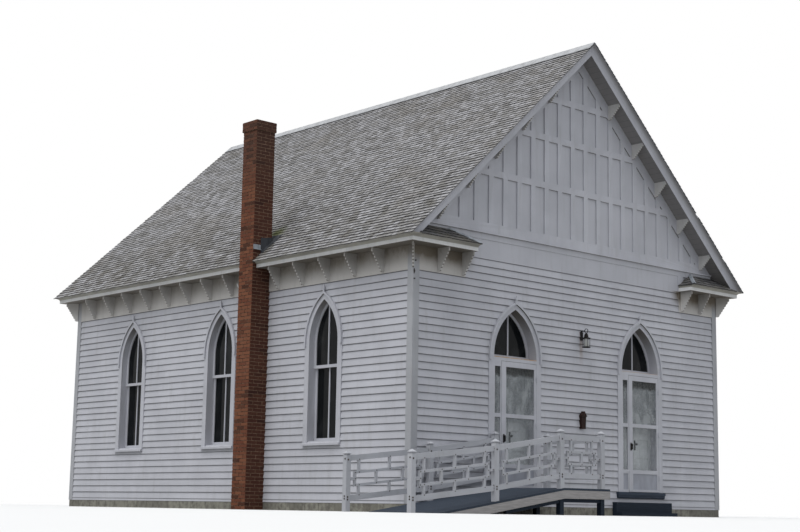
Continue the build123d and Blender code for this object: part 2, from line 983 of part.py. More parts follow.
def hood_mould(half, radius, spring, grow):
    """Raised moulding over a pointed head, with label stops at the spring and a small finial."""
    apex = pointed_apex(half, radius, spring, grow)
    inner = grow - hood_width
    foot = half + inner
    with BuildPart() as hood:
        with BuildSketch(Plane.XZ.offset(casing_thickness)):
            add(lancet(half, radius, spring, spring, grow))
            add(lancet(half, radius, spring, spring, inner), mode=Mode.SUBTRACT)
            for side in (-1, 1):
                with Locations((side * (foot + hood_width / 2), spring - label_stop_height / 2)):
                    Rectangle(hood_width, label_stop_height)
            with BuildLine():
                Polyline(
                    (-finial_foot / 2, apex - finial_foot_depth),
                    (-finial_waist / 2, apex + finial_waist_rise),
                    (-finial_bulge / 2, apex + finial_bulge_rise),
                    (0, apex + finial_height),
                    (finial_bulge / 2, apex + finial_bulge_rise),
                    (finial_waist / 2, apex + finial_waist_rise),
                    (finial_foot / 2, apex - finial_foot_depth),
                    close=True,
                )
            make_face()
        extrude(amount=hood_thickness - casing_thickness)
    return hood.part


window_hood = hood_mould(window_half, window_radius, window_spring, casing_width)
door_hood = hood_mould(door_half, door_radius, door_spring, casing_width)
with BuildPart() as hood_moulds:
    for spot in left_window_spots:
        add(window_hood.moved(spot))
    add(door_hood.moved(Location((-door_offset, 0, 0))))
    mirror(about=Plane.YZ)
hood_moulds.part.label = "hood_moulds"
export_step(hood_moulds.part, "parts/hood_moulds.step")


def glazed_lancet(half, radius, bottom, spring, face):
    """Pointed sash with one upright bar. Its outer face lies at local Y = face."""
    with BuildPart() as sash:
        with BuildSketch(Plane.XZ.offset(-face - sash_thickness)):
            add(lancet(half, radius, bottom, spring))
            add(
                lancet(half, radius, bottom + sash_member, spring, -sash_member),
                mode=Mode.SUBTRACT,
            )
            top = pointed_apex(half, radius, spring, -sash_member / 2)
            add(rectangle_between(-bar_width / 2, bottom, bar_width / 2, top))
        extrude(amount=sash_thickness)
    return sash.part


def lower_sash(face):
    """Square-headed lower sash below the meeting rail, set behind the upper one."""
    bottom = window_sill + jamb_thickness
    top = meeting_rail_level + sash_member / 2
    with BuildPart() as sash:
        with BuildSketch(Plane.XZ.offset(-face - sash_thickness)):
            add(rectangle_between(-window_half, bottom, window_half, top))
            add(
                rectangle_between(
                    -window_half + sash_member,
                    bottom + sash_member,
                    window_half - sash_member,
                    top - sash_member,
                ),
                mode=Mode.SUBTRACT,
            )
            add(rectangle_between(-bar_width / 2, bottom, bar_width / 2, top))
        extrude(amount=sash_thickness)
    return sash.part


leaf_setback = wall_thickness - leaf_thickness
upper_sash = glazed_lancet(
    window_half, window_radius, meeting_rail_level - sash_member / 2, window_spring, sash_setback
)
back_sash = lower_sash(sash_setback + sash_thickness)
transom_sash = glazed_lancet(door_half, door_radius, door_spring, door_spring, leaf_setback)

# Sashes of all the windows and the transoms over the doors
with BuildPart() as window_sashes:
    for spot in left_window_spots:
        add(upper_sash.moved(spot))
        add(back_sash.moved(spot))
    add(transom_sash.moved(Location((-door_offset, 0, 0))))
    mirror(about=Plane.YZ)
window_sashes.part.label = "window_sashes"
export_step(window_sashes.part, "parts/window_sashes.step")


def sash_panes(half, radius, bottom, spring, face):
    """The two panes of a pointed sash, between its stiles and its bar."""
    with BuildPart() as panes:
        with BuildSketch(Plane.XZ.offset(-face - (sash_thickness + glass_thickness) / 2)):
            add(lancet(half, radius, bottom + sash_member, spring, -sash_member))
            top = pointed_apex(half, radius, spring)
            add(rectangle_between(-bar_width / 2, bottom, bar_width / 2, top), mode=Mode.SUBTRACT)
        extrude(amount=glass_thickness)
    return panes.part


def lower_panes(face):
    """The two panes of a lower sash."""
    bottom = window_sill + jamb_thickness + sash_member
    top = meeting_rail_level - sash_member / 2
    with BuildPart() as panes:
        with BuildSketch(Plane.XZ.offset(-face - (sash_thickness + glass_thickness) / 2)):
            for side in (-1, 1):
                inner = side * bar_width / 2
                outer = side * (window_half - sash_member)
                add(rectangle_between(min(inner, outer), bottom, max(inner, outer), top))
        extrude(amount=glass_thickness)
    return panes.part


upper_panes = sash_panes(
    window_half, window_radius, meeting_rail_level - sash_member / 2, window_spring, sash_setback
)
back_panes = lower_panes(sash_setback + sash_thickness)
transom_panes = sash_panes(door_half, door_radius, door_spring, door_spring, leaf_setback)

# Glass of all the windows and the transoms
with BuildPart() as window_glass:
    for spot in left_window_spots:
        add(upper_panes.moved(spot))
        add(back_panes.moved(spot))
    add(transom_panes.moved(Location((-door_offset, 0, 0))))
    mirror(about=Plane.YZ)
window_glass.part.label = "window_glass"
export_step(window_glass.part, "parts/window_glass.step")


hinge_line = door_half - door_gap / 2


def hinge_half(axis_x, face, outward, toward, bottom):
    """Knuckle and flap of a lift-off hinge. The flap lies on the face and runs toward one side."""
    axis_y = face + outward * (hinge_radius + hinge_clearance)
    flap_end = axis_x + toward * hinge_flap_width
    flap_face = face + outward * hinge_flap_thickness
    with BuildPart() as half:
        with BuildSketch(Plane.XY.offset(bottom)):
            with Locations((axis_x, axis_y)):
                Circle(hinge_radius)
            add(
                rectangle_between(
                    min(axis_x, flap_end),
                    min(face, flap_face),
                    max(axis_x, flap_end),
                    max(face, flap_face),
                )
            )
        extrude(amount=hinge_knuckle_height)
    return half.part


def door_frame():
    """Doorway frame centred on X = 0: jambs and arch, casing, and the bar below the transom."""
    knuckle_drop = hinge_knuckle_height + hinge_clearance
    with BuildPart() as frame:
        with BuildSketch(Plane.XZ.offset(-wall_thickness)):
            add(lancet(door_half, door_radius, floor_top, door_spring, jamb_thickness))
            add(lancet(door_half, door_radius, floor_top, door_spring), mode=Mode.SUBTRACT)
            add(rectangle_between(-door_half, storm_top, door_half, door_spring))
        extrude(amount=wall_thickness)
        with BuildSketch(Plane.XZ):
            add(lancet(door_half, door_radius, floor_top, door_spring, casing_width))
            add(lancet(door_half, door_radius, floor_top, door_spring), mode=Mode.SUBTRACT)
            add(rectangle_between(-door_half, storm_top, door_half, door_spring))
        extrude(amount=casing_thickness)
        for level in hinge_levels:
            add(hinge_half(hinge_line, -casing_thickness, -1, 1, level - knuckle_drop))
            add(hinge_half(hinge_line, wall_thickness, 1, 1, level - knuckle_drop))
            add(hinge_half(-hinge_line, wall_thickness, 1, -1, level - knuckle_drop))
    return frame.part


with BuildPart() as door_frames:
    for centre in (-door_offset, door_offset):
        add(door_frame().moved(Location((centre, 0, 0))))
door_frames.part.label = "door_frames"
export_step(door_frames.part, "parts/door_frames.step")

# Wooden sills that both doorways stand on
with BuildPart() as door_sills:
    with BuildSketch(Plane.XY.offset(sill_beam_top)):
        for centre in (-door_offset, door_offset):
            add(rectangle_between(centre - rough_half, 0, centre + rough_half, wall_thickness))
            add(
                rectangle_between(
                    centre - door_sill_half,
                    -door_sill_reach,
                    centre + door_sill_half,
                    0,
                )
            )
    extrude(amount=floor_top - sill_beam_top)
door_sills.part.label = "door_sills"
export_step(door_sills.part, "parts/door_sills.step")

# Fixed glazed panel at the left of each storm door
storm_face = -casing_thickness
storm_back = storm_face + storm_thickness
sidelight_right = -door_half + storm_sidelight
kick_top = storm_bottom + storm_bottom_rail + storm_kick_panel
low_glass_bottom = kick_top + storm_low_rail
mid_rail_top = storm_top - storm_top_rail - storm_upper_glass
mid_rail_bottom = mid_rail_top - storm_mid_rail

with BuildPart() as storm_sidelights:
    with BuildSketch(Plane.XZ.offset(-storm_back)):
        for centre in (-door_offset, door_offset):
            add(rectangle_between(centre - door_half, floor_top, centre + sidelight_right, storm_top))
            left = centre - door_half + sidelight_member
            right = centre + sidelight_right - sidelight_member
            for bottom, top in (
                (low_glass_bottom, mid_rail_bottom),
                (mid_rail_top, storm_top - storm_top_rail),
            ):
                add(rectangle_between(left, bottom, right, top), mode=Mode.SUBTRACT)
    extrude(amount=storm_thickness)
    with BuildSketch(Plane.XZ.offset(-storm_face)):
        for centre in (-door_offset, door_offset):
            left = centre - door_half + sidelight_member
            right = centre + sidelight_right - sidelight_member
            add(rectangle_between(left, storm_bottom + storm_bottom_rail, right, kick_top))
    extrude(amount=-panel_recess, mode=Mode.SUBTRACT)
storm_sidelights.part.label = "storm_sidelights"
export_step(storm_sidelights.part, "parts/storm_sidelights.step")

with BuildPart() as sidelight_glass:
    with BuildSketch(Plane.XZ.offset(-storm_face - (storm_thickness + glass_thickness) / 2)):
        for centre in (-door_offset, door_offset):
            left = centre - door_half + sidelight_member
            right = centre + sidelight_right - sidelight_member
            add(rectangle_between(left, low_glass_bottom, right, mid_rail_bottom))
            add(rectangle_between(left, mid_rail_top, right, storm_top - storm_top_rail))
    extrude(amount=glass_thickness)
sidelight_glass.part.label = "sidelight_glass"
export_step(sidelight_glass.part, "parts/sidelight_glass.step")

# Storm doors, hinged at the right jamb and opening outward
storm_left = sidelight_right + lock_gap
storm_right = door_half - door_gap
storm_leaf_top = storm_top - door_gap
lock_stile_x = storm_left + storm_lock_stile
hinge_stile_x = storm_right - storm_hinge_stile
handle_x = storm_left + storm_lock_stile / 2


def storm_door():
    """Storm door leaf of the doorway centred on X = 0."""
    with BuildPart() as leaf:
        with BuildSketch(Plane.XZ.offset(-storm_back)):
            add(rectangle_between(storm_left, storm_bottom, storm_right, storm_leaf_top))
            for bottom, top in (
                (low_glass_bottom, mid_rail_bottom),
                (mid_rail_top, storm_top - storm_top_rail),
            ):
                add(rectangle_between(lock_stile_x, bottom, hinge_stile_x, top), mode=Mode.SUBTRACT)
        extrude(amount=storm_thickness)
        with BuildSketch(Plane.XZ.offset(-storm_face)):
            add(
                rectangle_between(
                    lock_stile_x, storm_bottom + storm_bottom_rail, hinge_stile_x, kick_top
                )
            )
        extrude(amount=-panel_recess, mode=Mode.SUBTRACT)
        for level in hinge_levels:
            add(hinge_half(hinge_line, storm_face, -1, -1, level))
    return leaf.part


def storm_handle():
    """Pull handle on the lock stile of a storm door: plate, stem and grip."""
    with BuildPart() as handle:
        with BuildSketch(Plane.XZ.offset(-storm_face)):
            with Locations((handle_x, handle_level)):
                SlotOverall(handle_plate_height, handle_plate_width, rotation=90)
        extrude(amount=handle_plate_thickness)
        with BuildSketch(Plane.XZ.offset(-storm_face)):
            with Locations((handle_x, handle_level + handle_stem_rise)):
                Circle(handle_stem_radius)
        extrude(amount=handle_reach)
        with BuildSketch(Plane.XZ.offset(-storm_face + handle_reach)):
            with Locations((handle_x, handle_level)):
                SlotOverall(handle_grip_height, handle_grip_width, rotation=90)
        extrude(amount=-handle_grip_thickness)
    return handle.part


def storm_panes():
    """The two panes of a storm door."""
    with BuildPart() as panes:
        with BuildSketch(Plane.XZ.offset(-storm_face - (storm_thickness + glass_thickness) / 2)):
            add(rectangle_between(lock_stile_x, low_glass_bottom, hinge_stile_x, mid_rail_bottom))
            add(
                rectangle_between(
                    lock_stile_x, mid_rail_top, hinge_stile_x, storm_top - storm_top_rail
                )
            )
        extrude(amount=glass_thickness)
    return panes.part


with BuildPart() as left_storm_door:
    add(storm_door().moved(Location((-door_offset, 0, 0))))
left_storm_door.part.label = "left_storm_door"
export_step(left_storm_door.part, "parts/left_storm_door.step")

with BuildPart() as right_storm_door:
    add(storm_door().moved(Location((door_offset, 0, 0))))
right_storm_door.part.label = "right_storm_door"
export_step(right_storm_door.part, "parts/right_storm_door.step")

with BuildPart() as left_storm_handle:
    add(storm_handle().moved(Location((-door_offset, 0, 0))))
left_storm_handle.part.label = "left_storm_handle"
export_step(left_storm_handle.part, "parts/left_storm_handle.step")

with BuildPart() as right_storm_handle:
    add(storm_handle().moved(Location((door_offset, 0, 0))))
right_storm_handle.part.label = "right_storm_handle"
export_step(right_storm_handle.part, "parts/right_storm_handle.step")

with BuildPart() as left_storm_glass:
    add(storm_panes().moved(Location((-door_offset, 0, 0))))
left_storm_glass.part.label = "left_storm_glass"
export_step(left_storm_glass.part, "parts/left_storm_glass.step")

with BuildPart() as right_storm_glass:
    add(storm_panes().moved(Location((door_offset, 0, 0))))
right_storm_glass.part.label = "right_storm_glass"
export_step(right_storm_glass.part, "parts/right_storm_glass.step")

# Inner double doors: narrow panelled leaves that open inward, the right one with lock and knob
leaf_gap_half = lock_gap / 2
leaf_top = storm_top - door_gap


def door_leaf(side, with_lock):
    """Panelled leaf of the doorway centred on X = 0, on the side given by -1 or 1."""
    outer = side * (door_half - door_gap)
    inner = side * leaf_gap_half
    left, right = min(outer, inner), max(outer, inner)
    panel_bottoms = [leaf_bottom + leaf_rail, *[level + leaf_rail / 2 for level in leaf_panel_tops]]
    panel_tops = [*[level - leaf_rail / 2 for level in leaf_panel_tops], leaf_top - leaf_rail / 2]
    with BuildPart() as leaf:
        with BuildSketch(Plane.XZ.offset(-leaf_setback - leaf_thickness)):
            add(rectangle_between(left, leaf_bottom, right, leaf_top))
        extrude(amount=leaf_thickness)
        for plane, depth in (
            (Plane.XZ.offset(-leaf_setback), -panel_recess),
            (Plane.XZ.offset(-leaf_setback - leaf_thickness), panel_recess),
        ):
            with BuildSketch(plane):
                for bottom, top in zip(panel_bottoms, panel_tops):
                    add(rectangle_between(left + leaf_stile, bottom, right - leaf_stile, top))
            extrude(amount=depth, mode=Mode.SUBTRACT)
        if with_lock:
            lock_x = side * (leaf_gap_half + leaf_stile / 2)
            with BuildSketch(Plane.XZ.offset(-leaf_setback)):
                with Locations((lock_x, lock_plate_level)):
                    RectangleRounded(lock_plate_width, lock_plate_height, lock_plate_corner)
            extrude(amount=lock_plate_thickness)
            for plane, outward in (
                (Plane.XZ.offset(-leaf_setback), 1),
                (Plane.XZ.offset(-leaf_setback - leaf_thickness), -1),
            ):
                with BuildSketch(plane):
                    with Locations((lock_x, knob_level)):
                        Circle(knob_stem_radius)
                extrude(amount=outward * knob_reach)
                with Locations(plane.offset(outward * knob_reach)):
                    with Locations((lock_x, knob_level)):
                        Sphere(knob_radius)
        for level in hinge_levels:
            add(hinge_half(side * hinge_line, wall_thickness, 1, -side, level))
    return leaf.part


with BuildPart() as left_door_left_leaf:
    add(door_leaf(-1, False).moved(Location((-door_offset, 0, 0))))
left_door_left_leaf.part.label = "left_door_left_leaf"
export_step(left_door_left_leaf.part, "parts/left_door_left_leaf.step")

with BuildPart() as left_door_right_leaf:
    add(door_leaf(1, True).moved(Location((-door_offset, 0, 0))))
left_door_right_leaf.part.label = "left_door_right_leaf"
export_step(left_door_right_leaf.part, "parts/left_door_right_leaf.step")

with BuildPart() as right_door_left_leaf:
    add(door_leaf(-1, False).moved(Location((door_offset, 0, 0))))
right_door_left_leaf.part.label = "right_door_left_leaf"
export_step(right_door_left_leaf.part, "parts/right_door_left_leaf.step")

with BuildPart() as right_door_right_leaf:
    add(door_leaf(1, True).moved(Location((door_offset, 0, 0))))
right_door_right_leaf.part.label = "right_door_right_leaf"
export_step(right_door_right_leaf.part, "parts/right_door_right_leaf.step")

# Low step below the right doorway, with a wider foot
with BuildPart() as right_door_step:
    add(
        block(
            door_offset - step_half_width,
            -step_reach,
            0,
            door_offset + step_half_width,
            -foundation_reach,
            step_height,
        )
    )
    add(
        block(
            door_offset - step_half_width,
            -step_foot_reach,
            0,
            door_offset + step_half_width,
            -foundation_reach,
            step_foot_height,
        )
    )
right_door_step.part.label = "right_door_step"
export_step(right_door_step.part, "parts/right_door_step.step")

# Ramp and landing. The deck runs level in front of the left doorway and falls to the ground
deck_front = rail_line_front - deck_edge
deck_back = -door_sill_reach


def deck_level(x):
    """Top of the deck at x, level on the landing and falling along the ramp."""
    return landing_top - max(0, landing_left - x) * ramp_slope


def sloped_band(upper, lower, left, right, surface=deck_level):
    """Band from left to right that keeps between two heights above a walking surface."""
    knees = [x for x in (landing_left,) if left < x < right]
    top = [(x, surface(x) + upper) for x in (left, *knees, right)]
    underside = [(x, surface(x) + lower) for x in (right, *knees, left)]
    with BuildSketch() as outline:
        with BuildLine():
            Polyline(*top, *underside, close=True)
        make_face()
    return outline.sketch


def above_ground(left, right):
    """Area above the ground, to trim what would run below it."""
    return rectangle_between(left, 0, right, ridge_height)


with BuildPart() as ramp_deck:
    with BuildSketch(Plane.XZ.offset(-deck_back)):
        add(sloped_band(0, -deck_thickness, ramp_foot, deck_right))
        add(above_ground(ramp_foot, deck_right), mode=Mode.INTERSECT)
    extrude(amount=deck_back - deck_front)
ramp_deck.part.label = "ramp_deck"
export_step(ramp_deck.part, "parts/ramp_deck.step")

# Skirt boards below the edges of the deck, level at the landing and tapering out at the ground
skirt_top = -deck_thickness
skirt_bottom = skirt_top - skirt_depth

with BuildPart() as ramp_skirts:
    for face in (deck_front, deck_back - skirt_thickness):
        with BuildSketch(Plane.XZ.offset(-face)):
            add(sloped_band(skirt_top, skirt_bottom, ramp_foot, deck_right))
            add(above_ground(ramp_foot, deck_right), mode=Mode.INTERSECT)
        extrude(amount=-skirt_thickness)
    add(
        block(
            deck_right - skirt_thickness,
            deck_front,
            landing_top + skirt_bottom,
            deck_right,
            deck_back,
            landing_top + skirt_top,
        )
    )
ramp_skirts.part.label = "ramp_skirts"
export_step(ramp_skirts.part, "parts/ramp_skirts.step")

# Beams under the skirts and the posts that carry the landing and the upper ramp
beam_top = skirt_bottom
support_lines = [
    deck_front + skirt_thickness + support_post / 2,
    deck_back - skirt_thickness - support_post / 2,
]
support_places = [*ramp_post_places[1:], landing_post_front]

with BuildPart() as ramp_supports:
    for line in support_lines:
        with BuildSketch(Plane.XZ.offset(-line + beam_thickness / 2)):
            add(sloped_band(beam_top, beam_top - beam_depth, beam_left, landing_post_front))
            add(above_ground(beam_left, deck_right), mode=Mode.INTERSECT)
        extrude(amount=-beam_thickness)
        for place in support_places:
            reach = support_post / 2
            with BuildSketch(Plane.XZ.offset(-line + reach)):
                with BuildLine():
                    Polyline(
                        (place - reach, 0),
                        (place + reach, 0),
                        (place + reach, deck_level(place + reach) + skirt_top),
                        (place - reach, deck_level(place - reach) + skirt_top),
                        close=True,
                    )
                make_face()
            extrude(amount=-support_post)
ramp_supports.part.label = "ramp_supports"
export_step(ramp_supports.part, "parts/ramp_supports.step")


def level_landing(_):
    """Top of the landing, for the railing across its end."""
    return landing_top


def ramp_newel(x, y):
    """Squared railing post standing on the deck or the ground, with a neck and a pointed cap."""
    reach = ramp_post / 2
    top = max(deck_level(x) + ramp_post_height, foot_post_height)
    neck = ramp_cap_neck
    with BuildPart() as newel:
        with BuildSketch(Plane.XZ.offset(-y + reach)):
            with BuildLine():
                Polyline(
                    (x - reach, max(0, deck_level(x - reach))),
                    (x + reach, max(0, deck_level(x + reach))),
                    (x + reach, top - neck),
                    (x - reach, top - neck),
                    close=True,
                )
            make_face()
        extrude(amount=-ramp_post)
        for bottom, height, size, slope in (
            (top - neck, neck, ramp_post - 2 * ramp_cap_edge, 0),
            (top, ramp_cap_edge, ramp_post + ramp_cap_edge, 0),
            (top + ramp_cap_edge, ramp_cap_height, ramp_post + ramp_cap_edge, ramp_cap_slope),
        ):
            with BuildSketch(Plane.XY.offset(bottom)):
                with Locations((x, y)):
                    Rectangle(size, size)
            extrude(amount=height, taper=slope)
    return newel.part


def railing_bay(left, right, surface=deck_level, inset=lattice_inset):
    """One bay of the pierced railing between two posts: rails, long rectangle, ties and uprights."""
    long_bay = right - left > long_bay_least
    low = bottom_rail_bottom + rail_depth
    high = top_rail_top - rail_depth
    rect_low = low + lattice_lift
    rect_high = high - lattice_drop
    rect_left = left + inset
    rect_right = right - inset
    middle = (rect_low + rect_high) / 2
    ties = [rect_left + lattice_inset, rect_right - lattice_inset]
    uprights = [(left + right) / 2]
    if long_bay:
        ties.append((left + right) / 2)
        uprights = [left + (right - left) / 3, right - (right - left) / 3]
    half_bar = lattice_bar / 2
    bands = [
        (top_rail_top, high, left, right),
        (low, bottom_rail_bottom, left, right),
        (rect_low + half_bar, rect_low - half_bar, rect_left, rect_right),
        (rect_high + half_bar, rect_high - half_bar, rect_left, rect_right),
        (rect_high, rect_low, rect_left, rect_left + lattice_bar),
        (rect_high, rect_low, rect_right - lattice_bar, rect_right),
        (middle + half_bar, middle - half_bar, left, rect_left),
        (middle + half_bar, middle - half_bar, rect_right, right),
    ]
    for x in ties:
        bands.append((high, rect_high, x - half_bar, x + half_bar))
        bands.append((rect_low, low, x - half_bar, x + half_bar))
    for x in uprights:
        bands.append((rect_high, rect_low, x - half_bar, x + half_bar))
    with BuildSketch() as bay:
        for upper, lower, start, end in bands:
            add(sloped_band(upper, lower, start, end, surface))
    return bay.sketch


newel_reach = ramp_post / 2


def rail_base(x):
    """Line the rails stand on: the deck, eased to the ground between the two lowest posts."""
    foot, second = ramp_post_places[:2]
    return deck_level(x) if x > second else deck_level(second) * (x - foot) / (second - foot)


# Railing along the outer edge of the ramp and landing
front_places = [*ramp_post_places, landing_post_front]

with BuildPart() as front_railing:
    for x in front_places:
        add(ramp_newel(x, rail_line_front))
    with BuildSketch(Plane.XZ.offset(-rail_line_front + rail_thickness / 2)):
        for left, right in zip(front_places, front_places[1:]):
            add(railing_bay(left + newel_reach, right - newel_reach, rail_base))
    extrude(amount=-rail_thickness)
front_railing.part.label = "front_railing"
export_step(front_railing.part, "parts/front_railing.step")

# Railing beside the wall, which stops short of the doorway
with BuildPart() as wall_railing:
    for x in ramp_post_places:
        add(ramp_newel(x, rail_line_wall))
    with BuildSketch(Plane.XZ.offset(-rail_line_wall + rail_thickness / 2)):
        for left, right in zip(ramp_post_places, ramp_post_places[1:]):
            add(railing_bay(left + newel_reach, right - newel_reach, rail_base))
    extrude(amount=-rail_thickness)
wall_railing.part.label = "wall_railing"
export_step(wall_railing.part, "parts/wall_railing.step")

# Railing across the end of the landing, slightly askew, from the outer corner post to its own
end_run_x = landing_post_wall - landing_post_front
end_run_y = landing_post_inset - rail_line_front
end_plane = Plane(
    origin=(landing_post_front, rail_line_front, 0),
    x_dir=(end_run_x, end_run_y, 0),
    z_dir=(end_run_y, -end_run_x, 0),
)

with BuildPart() as end_railing:
    add(ramp_newel(landing_post_wall, landing_post_inset))
    with BuildSketch(end_plane):
        end_run = math.hypot(end_run_x, end_run_y)
        add(railing_bay(rail_thickness, end_run, level_landing, end_lattice_inset))
    extrude(amount=rail_thickness / 2, both=True)
    add(front_railing.part, mode=Mode.SUBTRACT)
end_railing.part.label = "end_railing"
export_step(end_railing.part, "parts/end_railing.step")

# Wall lantern between the doorways: back plate, arm, hook ring, dome, roof disc, open cage and base
lantern_y = -siding_relief - lantern_reach
lantern_roof = lantern_base + lantern_disc_height + lantern_cage_height
dome_bottom = lantern_roof + lantern_disc_height
hook_level = dome_bottom + lantern_dome_height + lantern_hook_radius
plate_face = -siding_relief - lantern_plate_thickness

with BuildPart() as wall_lantern:
    for bottom in (lantern_base, lantern_roof):
        with BuildSketch(Plane.XY.offset(bottom)):
            with Locations((fitting_x, lantern_y)):
                Circle(lantern_disc_radius)
        extrude(amount=lantern_disc_height)
    with BuildSketch(Plane.XY.offset(lantern_base)):
        with Locations((fitting_x, lantern_y)):
            with PolarLocations(lantern_bar_ring, lantern_bar_count):
                Circle(lantern_bar_radius)
    extrude(amount=dome_bottom - lantern_base)
    with BuildSketch(
        Plane(origin=(fitting_x, lantern_y, dome_bottom), x_dir=(1, 0, 0), z_dir=(0, -1, 0))
    ):
        with BuildLine():
            Polyline(
                (0, 0),
                (lantern_dome_foot, 0),
                (lantern_dome_shoulder, lantern_dome_rise),
                (lantern_dome_tip, lantern_dome_height),
                (0, lantern_dome_height),
                close=True,
            )
        make_face()
    revolve(axis=Axis((fitting_x, lantern_y, 0), (0, 0, 1)))
    with Locations(Plane(origin=(fitting_x, lantern_y, hook_level), z_dir=(1, 0, 0))):
        Torus(lantern_hook_radius, lantern_hook_bar)
    add(
        block(
            fitting_x - lantern_plate_half,
            plate_face,
            lantern_plate_bottom,
            fitting_x + lantern_plate_half,
            0,
            lantern_plate_top,
        )
    )
    add(
        block(
            fitting_x - lantern_arm_half,
            plate_face,
            lantern_plate_top - lantern_plate_half,
            fitting_x + lantern_arm_half,
            0,
            hook_level + lantern_arm_half,
        )
    )
    add(
        block(
            fitting_x - lantern_arm_half,
            lantern_y + lantern_hook_radius - lantern_hook_bar,
            hook_level - lantern_arm_half,
            fitting_x + lantern_arm_half,
            0,
            hook_level + lantern_arm_half,
        )
    )
wall_lantern.part.label = "wall_lantern"
export_step(wall_lantern.part, "parts/wall_lantern.step")

# Dark wooden box on the wall between the doors: a tapered body under a peaked lid with a knob
box_plane = Plane.XZ.move(Location((fitting_x, 0, 0)))

with BuildPart() as wall_box:
    with BuildSketch(box_plane):
        with BuildLine():
            Polyline(
                (-box_foot_half, box_bottom),
                (box_foot_half, box_bottom),
                (box_body_half, box_lid_bottom),
                (-box_body_half, box_lid_bottom),
                close=True,
            )
        make_face()
    extrude(amount=box_depth)
    with BuildSketch(box_plane):
        with BuildLine():
            Polyline(
                (-box_lid_half, box_lid_bottom),
                (box_lid_half, box_lid_bottom),
                (box_shoulder_half, box_shoulder_level),
                (box_neck_half, box_neck_level),
                (box_knob_half, box_top),
                (-box_knob_half, box_top),
                (-box_neck_half, box_neck_level),
                (-box_shoulder_half, box_shoulder_level),
                close=True,
            )
        make_face()
    extrude(amount=box_lid_depth)
wall_box.part.label = "wall_box"
export_step(wall_box.part, "parts/wall_box.step")

# Twin floodlight on the frieze behind the chimney: a plate and two cones
floodlight_y = side_bracket_pitch * floodlight_bay
floodlight_level = frieze_bottom + floodlight_rise

with BuildPart() as floodlight:
    add(
        block(
            -frieze_face - floodlight_plate_thickness,
            floodlight_y - floodlight_plate_half,
            floodlight_level - floodlight_plate_half,
            -frieze_face,
            floodlight_y + floodlight_plate_half,
            floodlight_level + floodlight_plate_half,
        )
    )
    for side in (-1, 1):
        aim = Plane(
            origin=(-frieze_face, floodlight_y + side * floodlight_spacing / 2, floodlight_level),
            z_dir=(-1, side * floodlight_spread, -floodlight_tilt),
        )
        with BuildSketch(aim.offset(floodlight_plate_thickness)):
            Circle(floodlight_neck_radius)
        with BuildSketch(aim.offset(floodlight_plate_thickness + floodlight_length)):
            Circle(floodlight_lens_radius)
        loft()
floodlight.part.label = "floodlight"
export_step(floodlight.part, "parts/floodlight.step")
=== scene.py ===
import bpy
import math
import random
from mathutils import Matrix, Vector


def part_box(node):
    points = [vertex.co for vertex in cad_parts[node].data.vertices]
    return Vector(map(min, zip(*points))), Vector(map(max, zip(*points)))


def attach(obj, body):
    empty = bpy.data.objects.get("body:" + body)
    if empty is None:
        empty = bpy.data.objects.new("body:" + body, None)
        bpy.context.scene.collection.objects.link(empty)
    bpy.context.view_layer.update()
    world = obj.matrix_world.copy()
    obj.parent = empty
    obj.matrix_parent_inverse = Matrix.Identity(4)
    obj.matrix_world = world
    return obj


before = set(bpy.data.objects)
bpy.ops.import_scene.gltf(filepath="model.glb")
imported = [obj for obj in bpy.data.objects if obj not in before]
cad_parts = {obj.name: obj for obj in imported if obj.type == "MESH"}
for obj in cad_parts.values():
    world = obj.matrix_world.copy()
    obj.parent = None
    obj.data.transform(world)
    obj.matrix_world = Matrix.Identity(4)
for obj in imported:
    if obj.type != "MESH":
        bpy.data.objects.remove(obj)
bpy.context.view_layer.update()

# Small timber chapel: clapboards, shingles, bricks, flashings and finishes over the solids.
# Metres, Z up, the front wall's face at Y = 0, X to the right. Colours are red, green and blue.

# Sizes read from the solids
foundation_low, foundation_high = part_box("foundation")
frieze_low, frieze_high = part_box("frieze_boards")
ridge_low, ridge_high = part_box("ridge_cap")
roof_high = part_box("right_roof")[1]
eave_low, eave_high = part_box("right_eave")
wall_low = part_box("right_wall")[0]
rear_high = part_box("rear_wall")[1]
chimney_low, chimney_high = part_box("chimney")
band_low, band_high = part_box("chimney_band")
step_low, step_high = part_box("right_door_step")
sills_low, sills_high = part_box("door_sills")
returns_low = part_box("cornice_returns")[0]
return_roof_low, return_roof_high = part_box("return_roofs")
lantern_low, lantern_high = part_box("wall_lantern")
leaf_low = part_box("left_door_left_leaf")[0]
box_low, box_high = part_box("wall_box")
lamp_low, lamp_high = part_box("floodlight")
CORNER_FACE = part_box("corner_boards")[0].y

WALL_X = rear_high.x
WALL_BACK = rear_high.y
WALL_SKIN = 0.19
SIDING_BOTTOM = wall_low.z
FRIEZE_BOTTOM = frieze_low.z
SOFFIT_Z = frieze_high.z
FASCIA_TOP = eave_low.z + 0.068
RIDGE_Z = roof_high.z
ROOF_SLOPE = 0.925
ROOF_PITCH = math.atan(ROOF_SLOPE)
ROOF_DEPTH = 0.190
SOFFIT_BOARD = 0.095
UP, FORWARD, LEFTWARD = Vector((0, 0, 1)), Vector((0, -1, 0)), Vector((-1, 0, 0))

